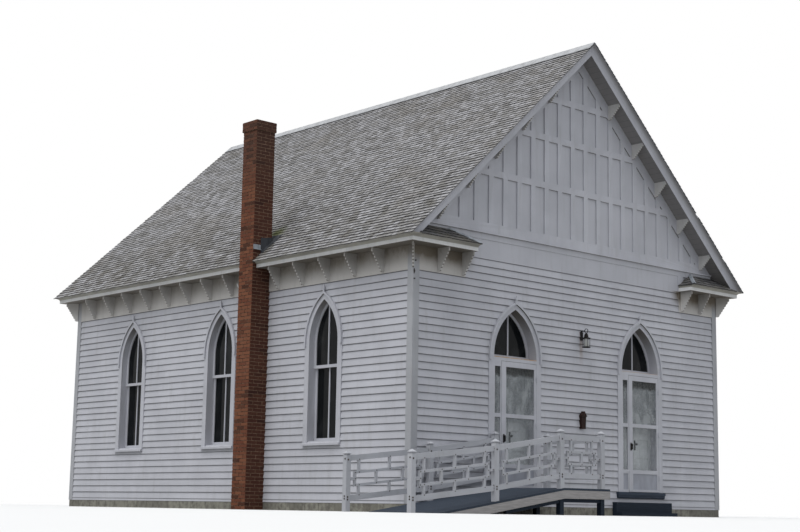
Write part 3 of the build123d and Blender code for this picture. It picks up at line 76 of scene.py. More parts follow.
# Openings: centre, half width, level of the springing, rise of the point, bottom
CASING_MIDDLE = 0.06
DOOR_OFFSET, DOOR_HALF, DOOR_SPRING = 1.727, 0.540, 2.705
DOORS = [(side * DOOR_OFFSET, DOOR_HALF, DOOR_SPRING, 0.857, 0.44) for side in (-1, 1)]
WINDOW_PITCH = 3.14
WINDOWS = [(WALL_BACK / 2 + n * WINDOW_PITCH, 0.395, 2.96, 0.748, 1.15) for n in (-1, 0, 1)]
TRANSOM_EDGE = DOOR_SPRING - 0.006
STORM_HEAD, CLEAR_PANE = 2.535, 1.52
STORM_PANEL_Y, KICK_TOP = -0.020, 0.80
LOCK_RUN, LOCK_HALF, LEAF_THICKNESS, LOCK_PROUD = 0.0515, 0.03, 0.04, 0.0008

# Clapboards
EXPOSURE = 0.127
BUTT_THICKNESS, TOP_THICKNESS, BOARD_UNEVEN = 0.021, 0.004, 0.0012
BOARD_JOINT, JOINT_CLEAR = 0.0015, 0.2
BOARD_LENGTHS = (2.2, 4.8)
CORNER_BOARD = 0.115
RETURN_END = WALL_X - 1.195
GABLE_FRIEZE_BOTTOM = 4.381
SILL_BLOCK = 0.70

# Shingles
SHINGLE_EXPOSURE, RETURN_EXPOSURE = 0.096, 0.124
SHINGLE_WIDTHS = (0.10, 0.19)
SHINGLE_GAP = 0.011
SHINGLE_BUTT = (0.011, 0.019)
SHINGLE_TOP, SHINGLE_DROP, SHINGLE_LEAST = 0.003, 0.007, 0.012
SHINGLE_OVERHANG = 0.018
ROOF_RUN = (eave_high.x + SHINGLE_OVERHANG) / math.cos(ROOF_PITCH)
SHINGLE_START = ridge_low.y - SHINGLE_OVERHANG
SHINGLE_END = WALL_BACK - ridge_low.y + SHINGLE_OVERHANG
NOTCH_DISTANCE = (WALL_X - 0.02) / math.cos(ROOF_PITCH)
MOSS_PLACE, MOSS_RADIUS = (-3.92, chimney_low.y + 0.20, 5.17), 0.34

# Small roofs over the cornice returns
RETURN_REACH = -returns_low.y
RETURN_RISE = return_roof_high.z - return_roof_low.z
RETURN_RUN = math.hypot(RETURN_REACH, RETURN_RISE)
RETURN_LIP = 0.014
HIP_STEPS, HIP_HALF, HIP_SHEET = 6, 0.055, 0.004

# Bricks and foundation blocks
BRICK_COURSE, BRICK_HEIGHT, BRICK_PROUD = 0.065, 0.053, 0.004
BRICK_DEPTH, BRICK_JOINT, BRICK_UNEVEN = 0.098, 0.012, 0.0015
BLOCK_LENGTHS, BLOCK_PROUD, BLOCK_JOINT = (0.34, 0.46), (0.002, 0.008), 0.005

# Flashing: foot of the stepped upstands and their head, and the plates at the eave
SHEET_THICKNESS = 0.003
STEP_X, STEP_HEAD = -4.424, 4.992
CAP_X, CAP_FOOT, CAP_HEIGHT = -4.590, 4.772, 0.083

# Fittings
LANTERN_X = (lantern_low.x + lantern_high.x) / 2
APRON_HALF, APRON_DROP, APRON_STEPS = 0.69, 0.062, 8
CORNER_KNOBS = ((-4.152, 4.148), (-4.174, 3.839))
CORNER_CLEAT, CLEAT_STEPS = (-4.175, 3.921, 4.012), 8
BOX_FACE, BOX_KNOB = -0.072, 1.66
LAMP_LEVEL = FRIEZE_BOTTOM + 0.240

# Railings: posts' places, lines of the rails and levels over the surface that they follow
RAIL_PLACES = (-5.610, -3.835, -2.310, -1.295)
HALF_POST, HALF_RAIL = 0.045, 0.019
LANDING_TOP, LANDING_LEFT, RAMP_SLOPE = 0.438, -2.265, 0.152
RAIL_LOW, RAIL_HIGH = 0.236, 0.786
LATTICE_LOW, LATTICE_HIGH = 0.392, 0.588
LATTICE_MIDDLE = (LATTICE_LOW + LATTICE_HIGH) / 2
LATTICE_TIE, HALF_LATH, LONG_BAY = 0.10, 0.02, 1.25
FRONT_LINE, WALL_LINE = -1.600, -0.105
END_POST = (-1.180, -0.275)
POST_BOLTS, POST_BOLT, LATH_BOLT = (0.185, 0.225, 0.80), 0.0105, 0.0065

# Colours that several finishes share
WHITE = (0.482, 0.490, 0.540)
WHITE_GRIME = (0.27, 0.265, 0.255)
# Painted shade under the clapboard laps, also the dark grooves between soffit boards
LAP_SHADE_AND_GROOVE = (0.066, 0.067, 0.086)
# Painted shade with soot under the eaves
EAVE_SHADE_AND_SOOT = (0.125, 0.104, 0.078)
# Painted shade on faces that look down
UNDERSIDE_SHADE = (0.120, 0.105, 0.085)
RUST = (0.20, 0.12, 0.07)
PAINT_FADE = 1 - 2.2 * 0.06


# Node materials


class Graph:
    """Short calls for the nodes that a finish or the sky is made of."""

    def __init__(self, tree):
        self.nodes = tree.nodes
        self.links = tree.links

    def join(self, value, socket):
        if isinstance(value, bpy.types.NodeSocket):
            self.links.new(value, socket)
        else:
            socket.default_value = (*value, 1.0) if socket.type == "RGBA" else value

    def make(self, kind, inputs=None, **settings):
        """A node with its settings, and with values or links at its inputs."""
        node = self.nodes.new("ShaderNode" + kind)
        for name, value in settings.items():
            setattr(node, name, value)
        for name, value in (inputs or {}).items():
            self.join(value, node.inputs[name])
        return node

    def math(self, operation, first, second=0.0, clamp=False):
        node = self.make("Math", {0: first, 1: second}, operation=operation, use_clamp=clamp)
        return node.outputs[0]

    def seen(self):
        """1 for rays from the camera, in reflections and through glass."""
        rays = self.make("LightPath").outputs
        seen = self.math("MAXIMUM", rays["Is Camera Ray"], rays["Is Glossy Ray"])
        return self.math("MAXIMUM", seen, rays["Is Transmission Ray"])


class Shader(Graph):
    """A material whose colour and relief are built up in layers."""

    def __init__(self, name, roughness, gloss=0.5):
        self.material = bpy.data.materials.new(name)
        self.material.use_nodes = True
        super().__init__(self.material.node_tree)
        self.skin = self.nodes["Principled BSDF"].inputs
        self.skin["Roughness"].default_value = roughness
        self.skin["Specular IOR Level"].default_value = gloss
        self.place = self.make("TexCoord").outputs
        self.x, self.y, self.z = self.make("SeparateXYZ", {0: self.place["Object"]}).outputs
        self.relief = None

    def facing(self, letter):
        return self.make("SeparateXYZ", {0: self.place["Normal"]}).outputs[letter]

    def aside(self):
        """Distance from the plane X = 0."""
        return self.math("ABSOLUTE", self.x)

    def island(self):
        return self.make("NewGeometry").outputs["Random Per Island"]

    def noise(self, scale, stretch=(1, 1, 1), detail=4, rough=0.55):
        place = self.make("VectorMath", {0: self.place["Object"], 1: stretch},
                          operation="MULTIPLY").outputs[0]
        return self.make("TexNoise", {"Vector": place, "Scale": scale, "Detail": detail,
                                      "Roughness": rough}).outputs["Fac"]

    def times(self, first, *others):
        for other in others:
            first = self.math("MULTIPLY", first, other)
        return first

    def above(self, value, limit):
        return self.math("GREATER_THAN", value, limit)

    def below(self, value, limit):
        return self.math("LESS_THAN", value, limit)

    def gap(self, value, middle):
        return self.math("ABSOLUTE", self.math("SUBTRACT", value, middle))

    def ramp(self, value, low, high, bottom=0.0, top=1.0):
        inputs = {"Value": value, "From Min": low, "From Max": high, "To Min": bottom,
                  "To Max": top}
        return self.make("MapRange", inputs, interpolation_type="SMOOTHSTEP").outputs["Result"]

    def mix(self, factor, first, second):
        return self.make("Mix", {0: factor, 6: first, 7: second}, data_type="RGBA").outputs[2]

    def wash(self, tone, over, value, low, high, most=1.0):
        """A tone, covered by another as a value goes from low to high."""
        return self.mix(self.ramp(value, low, high, 0.0, most), tone, over)

    def around(self, centre, radius):
        """1 at a point, falling to 0 at the radius."""
        reach = self.make("VectorMath", {0: self.place["Object"], 1: centre}, operation="DISTANCE")
        return self.ramp(reach.outputs["Value"], 0.0, radius, 1.0, 0.0)

    def course(self, value, start, pitch):
        """Share of the way up the course that a value falls in, from 0 at its butt to 1."""
        steps = self.math("DIVIDE", self.math("SUBTRACT", value, start), pitch)
        return self.math("FRACT", steps)

    def colour(self, value):
        self.coat = value
        self.join(value, self.skin["Base Color"])
        return self.material

    def repaint(self, factor, value):
        return self.colour(self.mix(factor, self.coat, value))

    def bump(self, height, distance, strength):
        inputs = {"Distance": distance, "Strength": strength, "Height": height}
        if self.relief is not None:
            inputs["Normal"] = self.relief
        self.relief = self.make("Bump", inputs).outputs["Normal"]
        self.join(self.relief, self.skin["Normal"])


def grain_along(axis, length):
    return tuple(length if letter == axis else 3 for letter in "xyz")


def lap_shade_and_dirt(shade, coat, streak):
    """Painted shade with dirt at the laps, dirt at the feet of the clapboards, and rust run down
    below the lantern.
    """
    share = shade.course(shade.z, FRIEZE_BOTTOM, EXPOSURE)
    # Painted shade, with some dirt, just under the butt of the board above
    coat = shade.wash(coat, LAP_SHADE_AND_GROOVE, share, 0.84, 0.99, 0.72)
    foot = shade.times(shade.ramp(streak, 0.4, 0.7, 0.1, 0.32), shade.ramp(share, 0.16, 0.0))
    coat = shade.mix(foot, coat, WHITE_GRIME)
    run = shade.ramp(shade.gap(shade.x, LANTERN_X), 0.07, 0.02)
    fall = shade.ramp(shade.z, lantern_low.z - 0.42, lantern_low.z + 0.05)
    front = shade.below(shade.y, 0.0)
    under = shade.below(shade.z, lantern_low.z + 0.3)
    rust = shade.times(run, fall, front, under, shade.ramp(streak, 0.25, 0.6, 0.12, 0.5))
    return shade.mix(rust, coat, RUST)


def eave_shade_and_soot(shade, coat, eave_darkening):
    """Painted shade with soot under the soffit, darker on the front faces and lighter toward the
    rear.
    """
    level = shade.z
    eave_blotch = shade.noise(5, (1, 1, 0.6), detail=6, rough=0.7)
    # Painted shade with soot, rising toward the soffit and stronger on front faces
    under_eave = shade.ramp(level, FRIEZE_BOTTOM + 0.04, SOFFIT_Z - 0.03, 0.0, 0.96)
    patches = shade.ramp(eave_blotch, 0.3, 0.65, 0.7, 1.0)
    beside = shade.ramp(shade.aside(), RETURN_END - 0.3, RETURN_END + 0.1)
    front_more = shade.ramp(shade.facing("Y"), -0.3, -0.8, 1.0, 1.5)
    eave_shade_mask = shade.times(under_eave, patches, beside)
    eave_shade_mask = shade.math("MULTIPLY", eave_shade_mask, front_more, clamp=True)
    rearward = shade.ramp(shade.y, 1.5, 8.5, eave_darkening, 0.55 * eave_darkening)
    eave_shade_mask = shade.times(eave_shade_mask, rearward, shade.below(level, SOFFIT_Z + 0.001))
    return shade.mix(eave_shade_mask, coat, EAVE_SHADE_AND_SOOT)


def painted_timber(name, paint=WHITE, grain_axis="x", grime=WHITE_GRIME, laps=False, eave_darkening=1.0):
    """Brushed paint on boards: slow drift, fine grain, painted shade with soot below the eaves,
    painted shade with dirt at the laps, and painted shade under ledges.
    """
    shade = Shader(name, 0.55)
    drift = shade.noise(1.3, detail=5)
    grain = shade.noise(22, grain_along(grain_axis, 0.25), detail=6)
    faded = tuple(c * PAINT_FADE for c in paint)
    coat = shade.wash(paint, faded, drift, 0.35, 0.7)
    coat = shade.wash(coat, faded, shade.island(), 0.0, 1.0, 0.6)
    streak = shade.noise(9, (1, 1, 0.12), detail=6, rough=0.65)
    coat = shade.wash(coat, grime, streak, 0.5, 0.8, 0.3)
    if laps:
        coat = lap_shade_and_dirt(shade, coat, streak)
    coat = eave_shade_and_soot(shade, coat, eave_darkening)
    # Painted shade on faces that look down
    coat = shade.wash(coat, UNDERSIDE_SHADE, shade.facing("Z"), -0.35, -0.9, 0.9)
    speck = shade.noise(70, detail=2)
    shade.colour(shade.wash(coat, grime, speck, 0.66, 0.74, 0.3))
    shade.join(shade.ramp(drift, 0.3, 0.7, 0.5, 0.68), shade.skin["Roughness"])
    shade.bump(grain, 0.0008, 0.5)
    shade.bump(speck, 0.0005, 0.3)
    return shade


def cornice_paint():
    """White fascia, painted lighter than the walls as painted light, below a dull stone-coloured
    crown.
    """
    # Fascia white set lighter than the wall white: painted light
    shade = painted_timber("cornice_paint", (0.78, 0.785, 0.79))
    crown = shade.above(shade.z, FASCIA_TOP)
    low = shade.below(shade.z, eave_high.z + 0.01)
    weather = shade.noise(7, (0.3, 0.3, 3), detail=6)
    stone = shade.wash((0.37, 0.355, 0.315), (0.25, 0.24, 0.21), weather, 0.35, 0.7)
    return shade.repaint(shade.times(crown, low), stone)


def shingle_laps(shade, tone):
    """Painted shade under the butts at the laps, stronger toward the eave, and a painted shadow
    line along the ridge cap.
    """
    fall = shade.math("SUBTRACT", shade.z, RIDGE_Z)
    down = shade.math("DIVIDE", fall, math.sin(ROOF_PITCH))
    share = shade.course(down, -ROOF_RUN, SHINGLE_EXPOSURE)
    # Painted shade at the head of each course, just under the butts of the course above
    lap_shade = shade.ramp(shade.z, eave_high.z + 2.8, eave_high.z + 0.3, 0.30, 0.88)
    lap_shade = shade.times(lap_shade, shade.ramp(share, 0.66, 0.95))
    tone = shade.mix(lap_shade, tone, (0.020, 0.020, 0.024))
    # Painted shadow of the ridge cap on the shingles beside it
    ridge_shadow = shade.ramp(shade.aside(), ridge_high.x + 0.012, ridge_high.x + 0.055, 0.9, 0.0)
    return shade.mix(ridge_shadow, tone, (0.03, 0.03, 0.035))


def weathered_shingle(name, light, dark, moss, laps=True):
    """Split shingles: each its own tone, grain down the slope, painted shade on the butts and
    sides, moss by the chimney.
    """
    shade = Shader(name, 0.85)
    grain = shade.noise(38, (1.6, 1, 0.4), detail=6, rough=0.65)
    tone = shade.wash(dark, light, shade.island(), 0.05, 0.95)
    tone = shade.wash(tone, dark, grain, 0.42, 0.75, 0.4)
    tone = shade.wash(tone, (0.20, 0.182, 0.16), shade.noise(0.8, detail=5), 0.45, 0.7, 0.45)
    low = shade.ramp(shade.z, eave_high.z + 1.9, eave_high.z, 0.0, 0.75)
    damp = shade.times(low, shade.ramp(shade.noise(3.5, detail=5), 0.45, 0.65))
    tone = shade.mix(damp, tone, (0.105, 0.097, 0.08))
    if laps:
        tone = shingle_laps(shade, tone)
    tuft = shade.times(shade.around(MOSS_PLACE, MOSS_RADIUS), shade.ramp(grain, 0.25, 0.45))
    tone = shade.mix(tuft, tone, moss)
    # Painted shade on the downward butts and the sides of the shingles
    butt = shade.ramp(shade.facing("Z"), -0.2, -0.4, 0.0, 0.85)
    side = shade.ramp(shade.math("ABSOLUTE", shade.facing("Y")), 0.6, 0.8, 0.0, 0.6)
    shade.bump(grain, 0.004, 0.7)
    return shade.colour(shade.mix(shade.math("MAXIMUM", butt, side), tone, (0.020, 0.020, 0.023)))


def fired_brick(name, red, orange, dark):
    """Bricks in several firings with sandy faces, painted shade on the front, and weathered dark
    near the top.
    """
    shade = Shader(name, 0.9, 0.15)
    sand = shade.noise(60, detail=5, rough=0.7)
    tone = shade.wash(red, orange, shade.island(), 0.1, 0.7)
    tone = shade.wash(tone, dark, shade.island(), 0.72, 1.0, 0.9)
    tone = shade.wash(tone, dark, sand, 0.45, 0.75, 0.45)
    bloom = shade.noise(4, (1, 1, 0.5), detail=5)
    tone = shade.wash(tone, (0.21, 0.15, 0.12), bloom, 0.6, 0.8, 0.25)
    # Painted shade on the front faces
    tone = shade.wash(tone, (0.040, 0.017, 0.014), shade.facing("Y"), -0.4, -0.8, 0.7)
    top = chimney_high.z
    tone = shade.wash(tone, (0.055, 0.034, 0.027), shade.z, top - 1.5, top - 0.1, 0.5)
    shade.bump(sand, 0.003, 0.8)
    return shade.colour(tone)


def brick_mortar():
    """Mortar, reddened by brick dust on the side and pale on the front."""
    shade = Shader("mortar", 0.92, 0.15)
    mottle = shade.noise(30, detail=7, rough=0.65)
    red = shade.wash((0.025, 0.013, 0.010), (0.21, 0.14, 0.095), mottle, 0.38, 0.68)
    tan = shade.wash((0.27, 0.18, 0.125), (0.10, 0.060, 0.042), mottle, 0.38, 0.68)
    shade.bump(mottle, 0.003, 0.8)
    return shade.colour(shade.wash(red, tan, shade.facing("Y"), -0.4, -0.8))


def mineral(name, base, spot, scale, depth=0.003):
    """Concrete and stone: two mottled tones with a sandy bump."""
    shade = Shader(name, 0.92)
    mottle = shade.noise(scale, detail=7, rough=0.65)
    tone = shade.wash(base, spot, mottle, 0.38, 0.68)
    shade.bump(mottle, depth, 0.8)
    return shade.colour(shade.wash(tone, spot, shade.island(), 0.2, 0.9, 0.5))


def worn_paint(name, paint, under, grain_axis="x", board=0.0, rough=0.5, gloss=0.5):
    """Floor and trim paint scuffed through to the wood, with board joints where asked."""
    shade = Shader(name, rough, gloss)
    grain = shade.noise(24, grain_along(grain_axis, 0.2), detail=6)
    scuff = shade.noise(5, detail=7, rough=0.7)
    tone = shade.wash(paint, tuple(min(1.0, c * 1.35) for c in paint), grain, 0.35, 0.7)
    tone = shade.wash(tone, under, scuff, 0.62, 0.74, 0.6)
    shade.bump(grain, 0.001, 0.6)
    if board:
        across = shade.math("PINGPONG", shade.math("DIVIDE", shade.x, board), 0.5)
        groove = shade.ramp(across, 0.0, 0.035, 1.0, 0.0)
        tone = shade.mix(groove, tone, (0.02, 0.022, 0.03))
        shade.bump(shade.math("SUBTRACT", 1.0, groove), 0.004, 0.8)
    return shade.colour(tone)


def plain_metal(name, base, streak, metallic=0.0, rough=0.55, gloss=0.5):
    """Sheet and cast metal with dull streaks."""
    shade = Shader(name, rough, gloss)
    shade.skin["Metallic"].default_value = metallic
    cloud = shade.noise(8, (1, 1, 0.3), detail=6, rough=0.65)
    shade.join(shade.ramp(cloud, 0.3, 0.7, rough - 0.1, rough + 0.15), shade.skin["Roughness"])
    shade.bump(cloud, 0.0012, 0.5)
    return shade.colour(shade.wash(base, streak, cloud, 0.42, 0.7))


def window_pane(name, tint, alpha, dust):
    """Old glass, glossy and a little wavy, with dust in its corners; the window's near-black,
    nearly opaque tint is painted shade of the room behind.
    """
    shade = Shader(name, 0.06, 0.08)
    shade.skin["Alpha"].default_value = alpha
    shade.bump(shade.noise(3, detail=1), 0.002, 0.25)
    film = shade.noise(2.5, detail=5)
    return shade.colour(shade.wash(tint, (0.30, 0.31, 0.32), film, 0.45, 0.75, dust))


def filmed_pane():
    """Storm glass with a pale, streaky film, partly dust and partly painted reflection, clearer low
    down, with a dark band of painted reflection under the head.
    """
    shade = Shader("storm_pane", 0.08, 0.2)
    fold = shade.noise(8, (1, 1, 0.07), detail=3, rough=0.5)
    mottle = shade.noise(5, (1, 1, 0.6), detail=5)
    speck = shade.noise(40, rough=0.7)
    film = shade.wash((0.21, 0.232, 0.248), (0.33, 0.355, 0.375), fold, 0.36, 0.64)
    # Pale mottling: dust and painted reflection
    film = shade.wash(film, (0.46, 0.485, 0.50), mottle, 0.45, 0.65, 0.6)
    film = shade.wash(film, (0.52, 0.545, 0.56), speck, 0.56, 0.7, 0.35)
    # Dark scalloped band under the head: painted reflection
    head = shade.math("SUBTRACT", shade.z, STORM_HEAD - 0.17)
    scallop = shade.times(shade.math("ADD", mottle, fold), 0.11)
    film = shade.wash(film, (0.05, 0.055, 0.055), shade.math("ADD", head, scallop), 0.10, 0.17)
    cover = shade.ramp(shade.math("ADD", mottle, shade.times(speck, 0.4)), 0.5, 0.85, 0.24, 0.6)
    clear = shade.ramp(shade.z, CLEAR_PANE, CLEAR_PANE + 0.25, 0.3, 1.0)
    shade.join(shade.times(cover, clear), shade.skin["Alpha"])
    shade.bump(fold, 0.001, 0.3)
    return shade.colour(film)


def wall_boards():
    """Painted boards outside, yellowed plaster on the room side."""
    shade = painted_timber("wall_boards")
    inside = shade.times(shade.below(shade.aside(), WALL_X - WALL_SKIN),
                         shade.above(shade.y, WALL_SKIN),
                         shade.below(shade.y, WALL_BACK - WALL_SKIN))
    cloud = shade.noise(1.7, detail=6)
    plaster = shade.wash((0.52, 0.48, 0.40), (0.45, 0.41, 0.34), cloud, 0.3, 0.7)
    return shade.repaint(inside, plaster)


def storm_paint():
    """White paint on the storm doors, dulled and scuffed on the recessed kick panels."""
    shade = painted_timber("storm_paint", grain_axis="z")
    panel = shade.times(shade.above(shade.y, STORM_PANEL_Y - 0.001),
                        shade.below(shade.y, STORM_PANEL_Y + 0.001),
                        shade.below(shade.z, KICK_TOP))
    scuff = shade.noise(6, (1, 1, 0.4), detail=6)
    dull = shade.wash((0.31, 0.325, 0.38), (0.25, 0.26, 0.295), scuff, 0.35, 0.7)
    return shade.repaint(panel, dull)


def frame_paint():
    """White paint on the door frames, worn to ochre along the upper edge of the transom bars."""
    shade = painted_timber("frame_paint")
    edge = shade.ramp(shade.gap(shade.z, TRANSOM_EDGE), 0.004, 0.010, 1.0, 0.0)
    across = shade.below(shade.gap(shade.aside(), DOOR_OFFSET), DOOR_HALF - 0.001)
    left_more = shade.ramp(shade.x, -0.2, 0.2, 0.95, 0.4)
    worn = shade.ramp(shade.noise(11, (1, 1, 0.2)), 0.3, 0.5, 0.4, 1.0)
    return shade.repaint(shade.times(edge, across, left_more, worn), (0.40, 0.23, 0.10))


def roof_boards():
    """Dark underlay on top of the roof slabs, painted boards on their undersides."""
    shade = painted_timber("roof_boards", grain_axis="y")
    share = shade.course(shade.aside(), 0.0, SOFFIT_BOARD)
    boards = shade.mix(shade.ramp(share, 0.0, 0.06, 0.8, 0.0), shade.coat, LAP_SHADE_AND_GROOVE)
    mottle = shade.noise(18, detail=7, rough=0.65)
    deck = shade.wash((0.07, 0.066, 0.062), (0.035, 0.033, 0.031), mottle, 0.38, 0.68)
    return shade.colour(shade.mix(shade.below(shade.facing("Z"), -0.1), deck, boards))


def leaf_paint():
    """Pale paint on the inner leaves, black iron on the lock and knobs that stand out."""
    shade = painted_timber("inner_door_paint", (0.66, 0.69, 0.71), "z", (0.34, 0.33, 0.32))
    near = shade.math("MINIMUM", shade.gap(shade.aside(), DOOR_OFFSET + LOCK_RUN),
                      shade.gap(shade.aside(), DOOR_OFFSET - LOCK_RUN))
    before = shade.below(shade.y, leaf_low.y - LOCK_PROUD)
    behind = shade.above(shade.y, leaf_low.y + LEAF_THICKNESS + LOCK_PROUD)
    proud = shade.times(shade.below(near, LOCK_HALF), shade.math("MAXIMUM", before, behind))
    return shade.repaint(proud, (0.02, 0.02, 0.022))


board_paint = painted_timber("clapboard_paint", laps=True).material
white_paint = painted_timber("white_paint").material
upright_paint = painted_timber("white_paint_upright", grain_axis="z").material
frieze_paint = painted_timber("frieze_paint", (0.53, 0.515, 0.50)).material
# Lighter copy of the white paint on the brackets: painted light, with half the painted eave shade
lit_bracket_paint = painted_timber("lit_bracket_paint", (0.60, 0.59, 0.58), eave_darkening=0.5).material
# Darker copy of the white paint on the railings: painted shade
rail_paint = painted_timber("rail_paint", (0.430, 0.442, 0.483)).material
# Darker copy of the white paint on the corner boards: painted shade
shaded_corner_paint = painted_timber("shaded_corner_paint", (0.37, 0.38, 0.41), "z").material
roof_deck = roof_boards()
shingle = weathered_shingle("weathered_shingle", (0.350, 0.348, 0.365), (0.205, 0.200, 0.198),
                            (0.115, 0.13, 0.03))
dark_shingle = weathered_shingle("dark_shingle", (0.090, 0.090, 0.094), (0.038, 0.038, 0.041),
                                 (0.06, 0.07, 0.04), laps=False)
brick = fired_brick("fired_brick", (0.135, 0.048, 0.028), (0.190, 0.076, 0.042),
                    (0.045, 0.018, 0.012))
footing = mineral("footing", (0.20, 0.19, 0.165), (0.12, 0.115, 0.10), 30)
block_stone = mineral("foundation_block", (0.24, 0.235, 0.20), (0.11, 0.105, 0.09), 9, 0.006)
raw_timber = worn_paint("raw_timber", (0.30, 0.21, 0.13), (0.16, 0.11, 0.07), "y")
floor_timber = worn_paint("floor_boards", (0.27, 0.17, 0.09), (0.14, 0.09, 0.05), "y", 0.083)
navy = worn_paint("navy_paint", (0.012, 0.018, 0.028), (0.035, 0.04, 0.048), rough=0.7, gloss=0.12)
sill_blue = worn_paint("sill_paint", (0.026, 0.036, 0.054), (0.05, 0.06, 0.075), rough=0.65,
                       gloss=0.2)
deck_blue = worn_paint("deck_paint", (0.032, 0.041, 0.057), (0.080, 0.085, 0.09), "y", 0.14, 0.7,
                       0.12)
skirt_paint = worn_paint("skirt_paint", (0.235, 0.226, 0.226), (0.165, 0.155, 0.148))
box_wood = worn_paint("box_wood", (0.022, 0.011, 0.010), (0.036, 0.019, 0.015), "z", rough=0.7,
                      gloss=0.15)
ridge_metal = plain_metal("ridge_metal", (0.40, 0.41, 0.43), (0.27, 0.275, 0.285), 0.2)
lead = plain_metal("lead_flashing", (0.048, 0.052, 0.060), (0.025, 0.027, 0.030), 0.0, 0.75, 0.15)
zinc = plain_metal("zinc_sheet", (0.34, 0.37, 0.41), (0.20, 0.22, 0.245), 0.2)
candle_white = plain_metal("candle_white", (0.62, 0.60, 0.54), (0.45, 0.43, 0.38), 0.0, 0.5)
lamp_lens = plain_metal("lamp_lens", (0.80, 0.82, 0.83), (0.62, 0.64, 0.66), 0.0, 0.12)
lamp_shell = plain_metal("lamp_shell", (0.50, 0.50, 0.48), (0.32, 0.32, 0.30))
rusty_bolt = plain_metal("rusty_bolt", (0.060, 0.054, 0.052), (0.11, 0.075, 0.055), 0.0, 0.8, 0.2)
box_edge = plain_metal("box_edge", (0.012, 0.008, 0.007), (0.05, 0.035, 0.028), 0.0, 0.6, 0.2)
black_iron = plain_metal("black_iron", (0.009, 0.009, 0.010), (0.022, 0.019, 0.017), 0.0, 0.65,
                         0.12)
frosted = window_pane("frosted_globe", (0.60, 0.62, 0.60), 0.42, 0.5)

# Finishes of the solids, and white paint on those that aren't named
node_finishes = (
    (footing, "foundation"),
    (floor_timber, "floor"),
    (raw_timber, "floor_joists"),
    (wall_boards(), "front_sill_beam", "front_wall_left", "front_wall_right",
     "front_wall_middle", "wall_over_left_door", "wall_over_right_door", "front_gable", "rear_wall",
     "left_wall", "right_wall"),
    (shaded_corner_paint, "corner_boards"),
    (frieze_paint, "frieze_boards"),
    (lit_bracket_paint, "left_eave_brackets", "right_eave_brackets", "gable_brackets"),
    (frame_paint(), "door_frames"),
    (storm_paint(), "left_storm_door", "right_storm_door", "storm_sidelights"),
    (leaf_paint(), "left_door_left_leaf", "left_door_right_leaf", "right_door_left_leaf",
     "right_door_right_leaf"),
    (cornice_paint(), "left_eave", "right_eave", "cornice_returns"),
    (roof_deck, "left_roof", "right_roof", "return_roofs"),
    (ridge_metal, "ridge_cap"),
    (upright_paint, "front_gable_battens", "rear_gable_battens"),
    (brick_mortar(), "chimney", "chimney_band"),
    # Near-black, nearly opaque window glass: painted shade of the room behind
    (window_pane("window_pane", (0.006, 0.007, 0.008), 0.97, 0.04), "window_glass"),
    (filmed_pane(), "sidelight_glass", "left_storm_glass", "right_storm_glass"),
    (sill_blue, "door_sills"),
    (navy, "right_door_step", "ramp_supports"),
    (deck_blue, "ramp_deck"),
    (skirt_paint, "ramp_skirts"),
    (rail_paint, "front_railing", "wall_railing", "end_railing"),
    (black_iron, "wall_lantern", "left_storm_handle", "right_storm_handle"),
    (box_wood, "wall_box"),
    (lamp_shell, "floodlight"),
)
finish_of = {name: material for material, *names in node_finishes for name in names}
for node_name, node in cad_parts.items():
    node.data.materials.clear()
    node.data.materials.append(finish_of.get(node_name, white_paint))


class Batch:
    """Vertices and faces gathered for one piece."""

    def __init__(self):
        self.points = []
        self.faces = []

    def add(self, points, faces, flip=False):
        start = len(self.points)
        self.points.extend(points)
        for face in faces:
            corners = [start + i for i in face]
            self.faces.append(corners[::-1] if flip else corners)

    def box(self, low, high):
        xs, ys, zs = zip(low, high)
        corners = [(x, y, z) for z in zs for y in ys for x in xs]
        self.add(corners, [(0, 2, 3, 1), (4, 5, 7, 6), (0, 1, 5, 4), (1, 3, 7, 5), (3, 2, 6, 7),
                           (2, 0, 4, 6)])

    def bar(self, axis, along, across, upright):
        """Box by its spans along X or Y (axis 0 or 1), across that, and upright."""
        xs, ys = (across, along) if axis else (along, across)
        self.box(*zip(xs, ys, upright))

    def loft(self, rows, flip=False):
        """Closed skin through rows of points, capped at the first and the last."""
        size, last = len(rows[0]), (len(rows) - 1) * len(rows[0])
        caps = (range(size), range(last, last + size)[::-1])
        faces = [cap[::-1] if flip else cap for cap in caps]
        for row in range(0, last, size):
            for k in range(size):
                a, b = row + k, row + (k + 1) % size
                faces.append((a, b, b + size, a + size) if flip else (a, a + size, b + size, b))
        self.add([point for row in rows for point in row], faces)

    def piece(self, name, material, slot, body="chapel"):
        mesh = bpy.data.meshes.new(name)
        mesh.from_pydata([tuple(p) for p in self.points], [], self.faces)
        mesh.materials.append(material)
        mesh.update()
        made = bpy.data.objects.new(name, mesh)
        bpy.context.scene.collection.objects.link(made)
        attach(made, body)


# Clapboards. A wall is a function from run, distance out and level to a point


def front_point(run, out, level):
    return (run, -out, level)


def rear_point(run, out, level):
    return (run, WALL_BACK + out, level)


def left_point(run, out, level):
    return (-WALL_X - out, run, level)


def right_point(run, out, level):
    return (WALL_X + out, run, level)


def casing_arc(opening):
    """Radius of an opening's arches and how far their centres lie past its middle."""
    half, rise = opening[1], opening[3]
    radius = (rise ** 2 + half ** 2) / (2 * half)
    return radius + CASING_MIDDLE, radius - half


def casing_half(opening, level):
    """Half width of the middle line of an opening's casing, 0 from its point upwards."""
    radius, past = casing_arc(opening)
    if level <= opening[2]:
        return opening[1] + CASING_MIDDLE
    return max(0.0, math.sqrt(max(0.0, radius ** 2 - (level - opening[2]) ** 2)) - past)


def casing_point(opening):
    radius, past = casing_arc(opening)
    return opening[2] + math.sqrt(radius ** 2 - past ** 2)


